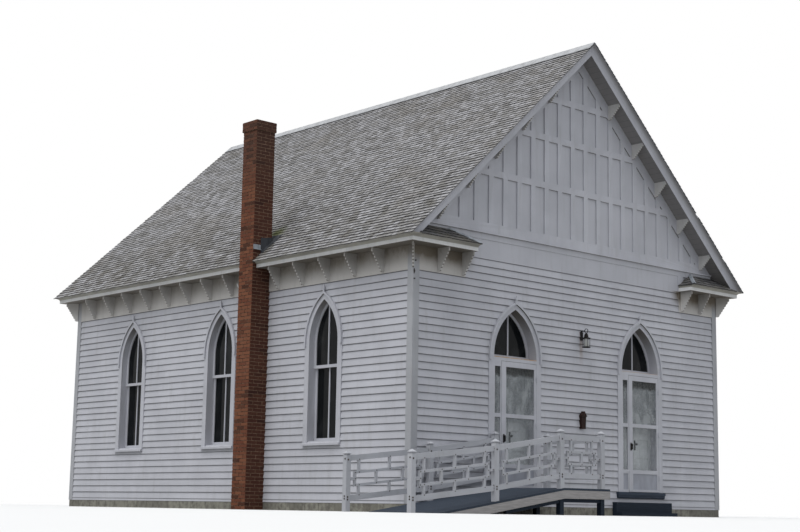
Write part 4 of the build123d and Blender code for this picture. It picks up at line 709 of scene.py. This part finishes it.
def casing_side(opening, side, low, high):
    """Points up one side of an opening between two levels."""
    tip = casing_point(opening)
    levels = [low, (low + high) / 2, high] if tip >= high else [low, (low + tip) / 2, tip, high]
    return [(opening[0] + side * casing_half(opening, level), level) for level in levels]


def strips(start, end, low, high, openings, blocks):
    """Stretches of wall between two levels, each with its left and right side points."""
    cuts = []
    for opening in openings:
        if opening[4] <= low + 0.001 and casing_point(opening) > low:
            cuts.append([casing_side(opening, side, low, high) for side in (-1, 1)])
    for left, right, foot, head in blocks:
        if foot <= low + 0.001 and head > low + 0.001:
            cuts.append([[(x, low), (x, high)] for x in (left, right)])
    cuts.sort(key=lambda cut: cut[0][0][0])
    side = [(start, low), (start, high)]
    found = []
    for left, right in cuts:
        found.append((side, left))
        side = right
    found.append((side, [(end, low), (end, high)]))
    return [(a, b) for a, b in found if min(p[0] for p in b) - max(p[0] for p in a) > -0.6
            and b[0][0] - a[0][0] > 0.01]


def cut_at_joints(left, right, joints, low, high):
    """Boards of one stretch, each between two side lines."""
    first, last = max(p[0] for p in left) + JOINT_CLEAR, min(p[0] for p in right) - JOINT_CLEAR
    boards = []
    for joint in joints:
        if first < joint < last:
            near, far = joint - BOARD_JOINT, joint + BOARD_JOINT
            boards.append((left, [(near, low), (near, high)]))
            left = [(far, low), (far, high)]
    return boards + [(left, right)]


def clapboards(name, wall, flip, start, end, bottom, top, openings=(), blocks=(), seed=1):
    """Tapered boards over a wall, each lapping the one below, cut round its openings."""
    draw = random.Random(seed)
    batch = Batch()
    levels = sorted({z for block in blocks for z in block[2:] if bottom < z < top}
                    | {opening[4] for opening in openings if bottom < opening[4] < top})

    def board(near, far, foot, low, butt, lift):
        outline = []
        for run, level in [*far, *near[::-1]]:
            out = butt + (TOP_THICKNESS - butt) * ((level - foot) / EXPOSURE)
            outline.append(wall(run, out, level + lift if level == foot else level))
        count = len(outline)
        faces = [tuple(range(count))]
        if low == foot:
            outline += [wall(near[0][0], 0.0, low + lift), wall(far[0][0], 0.0, low + lift)]
            faces.append((0, count - 1, count, count + 1))
        batch.add(outline, faces, flip)

    course = FRIEZE_BOTTOM - math.ceil((FRIEZE_BOTTOM - bottom) / EXPOSURE - 1e-6) * EXPOSURE
    while course < top - 0.001:
        foot, head = max(course, bottom), min(course + EXPOSURE, top)
        butt = BUTT_THICKNESS + draw.uniform(-BOARD_UNEVEN, BOARD_UNEVEN)
        breaks = [foot, *[z for z in levels if foot + 0.002 < z < head - 0.002], head]
        joints = []
        run = start + draw.uniform(*BOARD_LENGTHS) * 0.7
        while run < end:
            joints.append(run)
            run += draw.uniform(*BOARD_LENGTHS)
        for low, high in zip(breaks, breaks[1:]):
            for left, right in strips(start, end, low, high, openings, blocks):
                for near, far in cut_at_joints(left, right, joints, low, high):
                    lift = draw.uniform(-BOARD_UNEVEN, BOARD_UNEVEN) if low == foot else 0.0
                    board(near, far, foot, low, butt, lift)
        course += EXPOSURE
    batch.piece(name, board_paint, "white_paint")


corner_run = WALL_X - CORNER_BOARD
side_run = (CORNER_BOARD, WALL_BACK - CORNER_BOARD)
lower = (SIDING_BOTTOM, FRIEZE_BOTTOM)
upper = (FRIEZE_BOTTOM, GABLE_FRIEZE_BOTTOM)
front_blocks = [(side * DOOR_OFFSET - SILL_BLOCK, side * DOOR_OFFSET + SILL_BLOCK,
                 sills_low.z - (APRON_DROP + 0.003 if side > 0 else 0.0), sills_high.z)
                for side in (-1, 1)]
front_blocks.append((step_low.x, step_high.x, SIDING_BOTTOM, step_high.z))
chimney_block = [(chimney_low.y, chimney_high.y, SIDING_BOTTOM, FRIEZE_BOTTOM + EXPOSURE)]
clapboards("front_clapboards", front_point, False, -corner_run, corner_run, *lower, DOORS,
           front_blocks, 3)
clapboards("front_upper_clapboards", front_point, False, -RETURN_END, RETURN_END, *upper, seed=5)
clapboards("rear_clapboards", rear_point, True, -corner_run, corner_run, *lower, seed=7)
clapboards("rear_upper_clapboards", rear_point, True, -RETURN_END, RETURN_END, *upper, seed=9)
clapboards("left_clapboards", left_point, True, *side_run, *lower, WINDOWS, chimney_block, 11)
clapboards("right_clapboards", right_point, False, *side_run, *lower, WINDOWS, seed=13)


# Shingles, laid in courses from the eave up


def shingle_field(batch, origin, along, down, outward, run, spans, draw, exposure):
    """Courses on one slope. spans gives the stretches along a course at a distance down it."""
    flip = along.cross(down).dot(outward) < 0
    for row in range(math.ceil(run / exposure)):
        foot = run - row * exposure
        head = max(0.0, foot - exposure)
        for head_span, foot_span in zip(spans(head, foot), spans(foot, foot)):
            place = min(head_span[0], foot_span[0]) - draw.uniform(0, SHINGLE_WIDTHS[0])
            last = max(head_span[1], foot_span[1])
            while place < last:
                width = draw.uniform(*SHINGLE_WIDTHS)
                butt = draw.uniform(*SHINGLE_BUTT)
                drop = draw.uniform(-SHINGLE_DROP, SHINGLE_DROP)
                corners = []
                for distance, rise, (low, high) in ((head, SHINGLE_TOP, head_span),
                                                    (foot + drop, butt, foot_span)):
                    for side in (place, place + width - SHINGLE_GAP):
                        run_at = min(max(side, low), high)
                        corners.append(origin + along * run_at + down * distance + outward * rise)
                place += width
                if max((corners[3] - corners[2]).length,
                       (corners[1] - corners[0]).length) < SHINGLE_LEAST:
                    continue
                for k in (2, 3, 0, 1):
                    depth = butt + 0.001 if k > 1 else SHINGLE_TOP
                    corners.append(corners[k] - outward * depth)
                batch.add(corners, [(0, 2, 3, 1), (2, 4, 5, 3), (0, 6, 4, 2), (1, 3, 5, 7)], flip)


def main_slope(side):
    """Stretches of a course on one main slope, parted round the chimney on the left one."""
    whole = [(SHINGLE_START, SHINGLE_END)]
    parted = [(SHINGLE_START, chimney_low.y), (chimney_high.y, SHINGLE_END)]
    return lambda head, foot: parted if side < 0 and foot >= NOTCH_DISTANCE else whole


for side, name in ((-1, "left_shingles"), (1, "right_shingles")):
    field = Batch()
    down = Vector((side * math.cos(ROOF_PITCH), 0, -math.sin(ROOF_PITCH)))
    outward = Vector((side * math.sin(ROOF_PITCH), 0, math.cos(ROOF_PITCH)))
    shingle_field(field, Vector((0, 0, RIDGE_Z)), Vector((0, 1, 0)), down, outward, ROOF_RUN,
                  main_slope(side), random.Random(17 + side), SHINGLE_EXPOSURE)
    field.piece(name, shingle, "roof_shingle")


# Shingles and metal hips on the small roofs over the cornice returns


def front_of_return(side, distance):
    """Stretch of a course from the hip to where it runs in under the main slope."""
    share = distance / RETURN_RUN
    level = return_roof_high.z - RETURN_RISE * share
    hip = RETURN_END + RETURN_REACH * (1 - share)
    under_roof = (RIDGE_Z - ROOF_DEPTH - level) / ROOF_SLOPE
    return (side * hip, side * under_roof) if side > 0 else (side * under_roof, side * hip)


def end_of_return(turn, distance):
    reach = RETURN_REACH * distance / RETURN_RUN
    return (0.0, reach) if turn > 0 else (-reach, 0.0)


def return_hip(caps, side, wall_y, out, draw):
    """Folded strip of metal up one hip, dented by hand."""
    foot = Vector((side * (RETURN_END - 0.012), wall_y + out * (RETURN_REACH + 0.012),
                   return_roof_low.z - 0.006))
    head = Vector((side * (RETURN_END + RETURN_REACH), wall_y, return_roof_high.z))
    top = []
    for step in range(HIP_STEPS + 1):
        middle = foot.lerp(head, step / HIP_STEPS)
        dent = draw.uniform(-0.003, 0.003)
        top += [middle + Vector((side * HIP_HALF, 0, 0.017 + dent)),
                middle + Vector((0, 0, 0.032 + dent)),
                middle + Vector((0, -out * HIP_HALF, 0.017 + dent))]
    under = len(top)
    faces = []
    for a in range(0, 3 * HIP_STEPS, 3):
        for b in (a, a + 1):
            faces += [(b, b + 1, b + 4, b + 3),
                      (b + under, b + under + 3, b + under + 4, b + under + 1)]
        faces += [(b, b + 3, b + under + 3, b + under) for b in (a, a + 2)]
    faces += [(b, b + 1, b + under + 1, b + under) for b in (0, 1)]
    caps.add(top + [p - UP * HIP_SHEET for p in top], faces, side * out > 0)


def return_roofs():
    draw = random.Random(41)
    tiles, caps = Batch(), Batch()
    for side in (-1, 1):
        for wall_y, out in ((0.0, -1), (WALL_BACK, 1)):
            slope = Vector((0, out * RETURN_REACH, -RETURN_RISE)) / RETURN_RUN
            upward = Vector((0, out * RETURN_RISE, RETURN_REACH)) / RETURN_RUN
            shingle_field(tiles, Vector((0, wall_y, return_roof_high.z)), Vector((1, 0, 0)), slope,
                          upward, RETURN_RUN + RETURN_LIP,
                          lambda head, foot: [front_of_return(side, min(head, RETURN_RUN))],
                          draw, RETURN_EXPOSURE)
            slope = Vector((-side * RETURN_REACH, 0, -RETURN_RISE)) / RETURN_RUN
            upward = Vector((-side * RETURN_RISE, 0, RETURN_REACH)) / RETURN_RUN
            start = Vector((side * (RETURN_END + RETURN_REACH), wall_y, return_roof_high.z))
            shingle_field(tiles, start, Vector((0, 1, 0)), slope, upward, RETURN_RUN + RETURN_LIP,
                          lambda head, foot: [end_of_return(out, min(head, RETURN_RUN))],
                          draw, RETURN_EXPOSURE)
            return_hip(caps, side, wall_y, out, draw)
    tiles.piece("return_roof_shingles", dark_shingle, "roof_shingle")
    caps.piece("return_roof_hips", zinc, "ridge_metal")


return_roofs()


# Bricks, six to a course, and foundation blocks along all four sides


def brick_ring(batch, low, high, upright, axis, draw):
    """One course round a square shaft: two bricks along each of two sides, one between them."""
    cross = 1 - axis
    middle = (low[axis] + high[axis]) / 2

    def ends(k):
        return ((low[k] - BRICK_PROUD, low[k] + BRICK_DEPTH),
                (high[k] - BRICK_DEPTH, high[k] + BRICK_PROUD))

    def uneven(span):
        jitter = draw.uniform(-BRICK_UNEVEN, BRICK_UNEVEN)
        return span[0] + jitter, span[1] + jitter

    for across in ends(cross):
        for along in ((low[axis] - BRICK_PROUD, middle - BRICK_JOINT / 2),
                      (middle + BRICK_JOINT / 2, high[axis] + BRICK_PROUD)):
            batch.bar(axis, along, uneven(across), upright)
    between = (low[cross] + BRICK_DEPTH + BRICK_JOINT, high[cross] - BRICK_DEPTH - BRICK_JOINT)
    for along in ends(axis):
        batch.bar(axis, uneven(along), between, upright)


def brickwork(name, low, high, seed):
    draw = random.Random(seed)
    batch = Batch()
    courses = round((high.z - low.z) / BRICK_COURSE)
    pitch = (high.z - low.z) / courses
    for course in range(courses):
        bottom = low.z + course * pitch + (pitch - BRICK_HEIGHT) / 2
        brick_ring(batch, low, high, (bottom, bottom + BRICK_HEIGHT), course % 2, draw)
    batch.piece(name, brick, "brick")


def foundation_blocks():
    draw = random.Random(31)
    batch = Batch()
    low, high = foundation_low, foundation_high
    for axis, fixed, out in ((0, low.y, -1), (0, high.y, 1), (1, low.x, -1), (1, high.x, 1)):
        run, end = low[axis], high[axis]
        while run < end - 0.05:
            width = min(draw.uniform(*BLOCK_LENGTHS), end - run)
            proud = draw.uniform(*BLOCK_PROUD)
            by_chimney = chimney_low.y - 0.02 < run + width and run < chimney_high.y
            if not (axis == 1 and out < 0 and by_chimney):
                batch.bar(axis, (run + BLOCK_JOINT, run + width - BLOCK_JOINT),
                          sorted((fixed - out * 0.05, fixed + out * proud)), (0.0, high.z - 0.004))
            run += width
    batch.piece("foundation_blocks", block_stone, "masonry")


brickwork("chimney_bricks", chimney_low, chimney_high, 23)
brickwork("chimney_band_bricks", band_low, band_high, 29)
foundation_blocks()


# Sheet metal round the chimney where it comes up through the eave


def sheet_grid(batch, across, along, place, flip=False):
    """Sheet of across by along cells with its own thickness. place gives a point and its side."""
    front, back = [], []
    for i in range(across + 1):
        for j in range(along + 1):
            point, outward = place(i / across, j / along)
            front.append(point)
            back.append(point - outward * SHEET_THICKNESS)
    count = len(front)
    row = along + 1
    faces = []
    for i in range(across):
        for a in range(i * row, i * row + along):
            b = count + a
            faces += [(a, a + row, a + row + 1, a + 1), (b, b + 1, b + row + 1, b + row)]
    for i in range(across):
        faces += [(a, a + row, count + a + row, count + a) for a in (i * row, i * row + along)]
    for j in range(along):
        faces += [(a, a + 1, count + a + 1, count + a) for a in (j, across * row + j)]
    batch.add(front + back, faces, flip)


def slope_z(x, lift=0.0):
    return RIDGE_Z - ROOF_SLOPE * abs(x) + lift / math.cos(ROOF_PITCH)


def chimney_flashing():
    """Lead upstands and skirts beside the shaft, apron behind it, zinc plates at the eave."""
    draw = random.Random(47)
    ripple = [draw.uniform(0, 6) for _ in range(4)]
    leads, caps = Batch(), Batch()
    outward = Vector((-math.sin(ROOF_PITCH), 0, math.cos(ROOF_PITCH)))
    top_x = -WALL_X + 0.004
    depth = chimney_high.y - chimney_low.y

    def wave(height, turn, k):
        return height * math.sin(turn + ripple[k])

    for wall_y, out in ((chimney_low.y - BRICK_PROUD, -1), (chimney_high.y + BRICK_PROUD, 1)):

        def upstand(u, v):
            x = STEP_X + u * (top_x - STEP_X)
            foot = slope_z(x, 0.016)
            head = STEP_HEAD + 0.03 * u + wave(0.003, 7 * u, 0)
            bulge = 0.006 + 0.010 * (1 - v) ** 2 + wave(0.003, 9 * u, 0)
            return Vector((x, wall_y + out * bulge, foot + v * (head - foot))), Vector((0, out, 0))

        def skirt(u, v):
            x = STEP_X + u * (top_x + 0.10 - STEP_X)
            z = slope_z(x, 0.020 + 0.012 * (1 - v) + wave(0.003, 11 * u + 5 * v, 1))
            return Vector((x, wall_y + out * (0.004 + v * (0.05 + 0.05 * u)), z)), outward

        def end_upstand(u, v):
            x = CAP_X + u * (STEP_X + 0.004 - CAP_X)
            y = wall_y + out * (0.006 + wave(0.002, 12 * u + 4 * v, 3))
            return Vector((x, y, CAP_FOOT + v * CAP_HEIGHT)), Vector((0, out, 0))

        def end_skirt(u, v):
            x = CAP_X + u * (STEP_X + 0.004 - CAP_X)
            y = wall_y + out * (0.004 + 0.030 * v)
            return Vector((x, y, CAP_FOOT - 0.012 * v + 0.002 * math.sin(10 * u))), UP

        sheet_grid(leads, 12, 4, upstand, out > 0)
        sheet_grid(leads, 8, 6, skirt, out < 0)
        sheet_grid(caps, 6, 3, end_upstand, out > 0)
        sheet_grid(caps, 6, 2, end_skirt, out < 0)

    def apron(u, v):
        x = top_x + v * 0.17
        y = chimney_low.y - 0.11 + u * (depth + 0.22)
        return Vector((x, y, slope_z(x, 0.024 + wave(0.003, 13 * u, 2)))), outward

    def back_upstand(u, v):
        place = Vector((top_x + 0.012 * (1 - v), chimney_low.y - 0.006 + u * (depth + 0.012),
                        slope_z(top_x, 0.018) + v * 0.14))
        return place, Vector((1, 0, 0))

    sheet_grid(leads, 14, 4, apron)
    sheet_grid(leads, 8, 3, back_upstand)
    leads.piece("chimney_flashing", lead, "ridge_metal")
    caps.piece("chimney_eave_caps", zinc, "ridge_metal")


chimney_flashing()


# Turned and pressed fittings: shapes swept about a line


def turned(batch, centre, axis, profile, sides):
    """Skin through a ring for each pair of (distance along the axis, radius) in the profile."""
    across = axis.orthogonal().normalized()
    other = axis.cross(across)
    turns = [2 * math.pi * k / sides for k in range(sides)]
    batch.loft([[centre + axis * along + (across * math.cos(a) + other * math.sin(a)) * radius
                 for a in turns] for along, radius in profile], flip=True)


def lantern_light():
    """Frosted globe in the lantern's cage, and the candle in it."""
    foot = Vector((LANTERN_X, lantern_low.y + 0.076, lantern_low.z + 0.0165))
    globe, candle = Batch(), Batch()
    turned(globe, foot, UP, [(0.0, 0.040), (0.012, 0.049), (0.07, 0.054), (0.13, 0.049),
                             (0.149, 0.036)], 20)
    turned(candle, foot + UP * 0.001, UP,
           [(0.0, 0.020), (0.008, 0.020), (0.010, 0.011), (0.070, 0.011), (0.074, 0.007),
            (0.092, 0.013), (0.108, 0.010), (0.124, 0.002)], 14)
    globe.piece("lantern_globe", frosted, "glass")
    candle.piece("lantern_candle", candle_white, "lamp_metal")


def sill_apron():
    """Moulded apron under the right door's sill."""
    draw = random.Random(53)
    batch = Batch()
    top = sills_low.z + 0.001
    profile = [(0.0, 0.0), (0.050, 0.0), (0.050, 0.018), (0.046, 0.024), (0.050, 0.032),
               (0.048, 0.046), (0.038, 0.056), (0.024, 0.061), (0.0, APRON_DROP)]
    rows = []
    for k in range(APRON_STEPS + 1):
        x = DOOR_OFFSET - APRON_HALF + 2 * APRON_HALF * k / APRON_STEPS
        wave = draw.uniform(-0.0008, 0.0008)
        rows.append([(x, -out - (wave if out > 0.01 else 0.0), top - fall)
                     for out, fall in profile])
    batch.loft(rows)
    batch.piece("right_sill_apron", sill_blue, "navy_paint")


def corner_fixings():
    """Old iron knobs and a cleat left on the left corner board."""
    batch = Batch()
    for x, level in CORNER_KNOBS:
        turned(batch, Vector((x, CORNER_FACE, level)), FORWARD,
               [(-0.002, 0.013), (0.006, 0.013), (0.010, 0.008), (0.024, 0.009),
                (0.030, 0.005)], 10)
    x, low, high = CORNER_CLEAT
    rows = []
    for k in range(CLEAT_STEPS + 1):
        share = k / CLEAT_STEPS
        level = low + (high - low) * share
        half = 0.008 + 0.007 * math.sin(math.pi * share)
        back, proud = CORNER_FACE + 0.002, 0.004 + 0.014 * math.sin(math.pi * share) ** 2
        rows.append([(x - half, back, level), (x - half * 0.6, CORNER_FACE - proud, level),
                     (x + half * 0.6, CORNER_FACE - proud, level), (x + half, back, level)])
    batch.loft(rows)
    batch.piece("corner_fixings", rusty_bolt, "black_iron")


lantern_light()
sill_apron()
corner_fixings()


# Bolts at the joints of the railings


def rail_surface(x):
    """Level that the rails follow over the ramp."""
    foot, second = RAIL_PLACES[:2]

    def deck(at):
        return LANDING_TOP - max(0.0, LANDING_LEFT - at) * RAMP_SLOPE

    return deck(x) if x > second else deck(second) * (x - foot) / (second - foot)


def lattice_joints(left, right, inset):
    """Joints of one railing bay as distances along it and heights over the surface."""
    first, last = left + inset, right - inset
    middle, third = (left + right) / 2, (right - left) / 3
    ties, uprights = [first + LATTICE_TIE, last - LATTICE_TIE], [middle]
    if right - left > LONG_BAY:
        ties.append(middle)
        uprights = [left + third, right - third]
    groups = (((first + HALF_LATH, last - HALF_LATH), (LATTICE_LOW, LATTICE_MIDDLE, LATTICE_HIGH)),
              (ties, (RAIL_LOW, LATTICE_LOW, LATTICE_HIGH, RAIL_HIGH)),
              (uprights, (LATTICE_LOW, LATTICE_HIGH)),
              ((left + HALF_LATH, right - HALF_LATH), (LATTICE_MIDDLE,)))
    return [(x, level) for places, levels in groups for x in places for level in levels]


def bolt(batch, place, outward, size=LATH_BOLT):
    turned(batch, place, outward, [(-0.002, size * 1.5), (0.002, size * 1.5), (0.0025, size),
                                   (0.006, size), (0.0075, size * 0.7)], 8)


def railing_bolts():
    bolts = Batch()
    for line, places in ((FRONT_LINE, RAIL_PLACES), (WALL_LINE, RAIL_PLACES[:3])):
        for left, right in zip(places, places[1:]):
            for x, level in lattice_joints(left + HALF_POST, right - HALF_POST, 0.10):
                for out in (-1, 1):
                    place = Vector((x, line + out * HALF_RAIL, rail_surface(x) + level))
                    bolt(bolts, place, Vector((0, out, 0)))
        for x in places:
            foot = max(0.0, rail_surface(x))
            for level in POST_BOLTS:
                z = foot + level
                bolt(bolts, Vector((x - 0.008, line - HALF_POST, z)), FORWARD, POST_BOLT)
                bolt(bolts, Vector((x - HALF_POST, line - 0.010, z + 0.012)), LEFTWARD, POST_BOLT)
    start = Vector((RAIL_PLACES[3], FRONT_LINE, LANDING_TOP))
    run = Vector((*END_POST, LANDING_TOP)) - start
    length = run.length
    run.normalize()
    outward = Vector((-run.y, run.x, 0))
    for distance, level in lattice_joints(0.038, length, 0.205):
        for out in (-1, 1):
            if HALF_POST < distance < length - HALF_POST:
                place = start + run * distance + UP * level + outward * out * HALF_RAIL
                bolt(bolts, place, outward * out)
    x, y = END_POST
    for level in POST_BOLTS:
        z = LANDING_TOP + level
        bolt(bolts, Vector((x - HALF_POST, y - 0.01, z)), LEFTWARD, POST_BOLT)
        bolt(bolts, Vector((x, y - HALF_POST, z)), FORWARD, POST_BOLT)
    bolts.piece("railing_bolts", rusty_bolt, "black_iron")


def box_fittings():
    """Frame and knob on the wall box's door, and the strip under its roof."""
    batch = Batch()
    middle = (box_low.x + box_high.x) / 2
    for left, right, foot, head in ((-0.040, 0.040, 1.575, 1.583), (-0.046, 0.046, 1.745, 1.753),
                                    (-0.043, -0.036, 1.583, 1.745), (0.036, 0.043, 1.583, 1.745)):
        batch.box((middle + left, BOX_FACE - 0.003, foot), (middle + right, BOX_FACE + 0.002, head))
    turned(batch, Vector((middle, BOX_FACE, BOX_KNOB)), FORWARD,
           [(0.0, 0.012), (0.004, 0.012), (0.006, 0.007), (0.014, 0.008), (0.018, 0.004)], 12)
    batch.box((middle - 0.066, box_low.y - 0.004, 1.779),
              (middle + 0.066, box_low.y + 0.002, 1.786))
    batch.piece("wall_box_trim", box_edge, "box_wood")


def floodlight_lenses():
    lenses = Batch()
    for side in (-1, 1):
        aim = Vector((-1, side * 0.7, -0.5)).normalized()
        base = Vector((-WALL_X - 0.025, (lamp_low.y + lamp_high.y) / 2 + side * 0.03, LAMP_LEVEL))
        turned(lenses, base + aim * 0.1195, aim,
               [(0.0, 0.046), (0.003, 0.046), (0.007, 0.040), (0.011, 0.026), (0.013, 0.010)], 18)
    lenses.piece("floodlight_lenses", lamp_lens, "lamp_metal")


railing_bolts()
box_fittings()
floodlight_lenses()

# Studio: pale floor, soft lamps and the photograph's camera
bpy.ops.mesh.primitive_plane_add(size=240, location=(0, 0, 0))
studio_floor = bpy.context.object
studio_floor.name = "studio_floor"
pale = Shader("studio_floor", 0.9)
studio_floor.data.materials.append(
    pale.colour(pale.mix(pale.seen(), (0.30, 0.30, 0.29), (0.72, 0.72, 0.72))))

world = bpy.data.worlds.new("studio")
bpy.context.scene.world = world
world.use_nodes = True
sky = Graph(world.node_tree)
white = sky.make("Background", {"Color": (1, 1, 1), "Strength": 1.0})
height = sky.make("SeparateXYZ", {0: sky.make("TexCoord").outputs["Generated"]}).outputs["Z"]
overcast = sky.make("MapRange", {"Value": height, "To Min": 0.45}).outputs["Result"]
fill = sky.nodes["Background"]
sky.join((0.93, 0.96, 1.0), fill.inputs["Color"])
sky.join(overcast, fill.inputs["Strength"])
blend = sky.make("MixShader", {0: sky.seen(), 1: fill.outputs[0], 2: white.outputs[0]})
sky.join(blend.outputs[0], sky.nodes["World Output"].inputs["Surface"])


def sun(name, strength, spread, elevation, azimuth, tint):
    """A soft distant lamp. Azimuth 0 stands in front of the chapel, positive to its right."""
    data = bpy.data.lights.new(name, "SUN")
    data.energy = strength
    data.angle = math.radians(spread)
    data.color = tint
    lamp = bpy.data.objects.new(name, data)
    lamp.rotation_euler = (math.radians(90 - elevation), 0, math.radians(azimuth))
    bpy.context.scene.collection.objects.link(lamp)


sun("overcast_key", 1.9, 40, 62, -84, (1.0, 0.985, 0.95))
sun("front_fill", 0.12, 90, 35, 30, (0.90, 0.95, 1.0))

CAMERA_PLACE = (-20.4935, -17.8001, 0.04)
CAMERA_YAW, CAMERA_PITCH, CAMERA_ROLL = (math.radians(a) for a in (41.9909, 9.4183, 0.9662))
FOCAL_PIXELS, FRAME_WIDTH, SENSOR_WIDTH = 1470.3, 800, 36.0
camera_data = bpy.data.cameras.new("camera")
camera_data.sensor_width = SENSOR_WIDTH
camera_data.lens = FOCAL_PIXELS * SENSOR_WIDTH / FRAME_WIDTH
camera_data.clip_end = 400
camera = bpy.data.objects.new("camera", camera_data)
camera.matrix_world = (Matrix.Translation(CAMERA_PLACE) @ Matrix.Rotation(-CAMERA_YAW, 4, "Z")
                       @ Matrix.Rotation(math.pi / 2 + CAMERA_PITCH, 4, "X")
                       @ Matrix.Rotation(CAMERA_ROLL, 4, "Z"))
bpy.context.scene.collection.objects.link(camera)
bpy.context.scene.camera = camera
bpy.context.scene.view_settings.view_transform = "Standard"
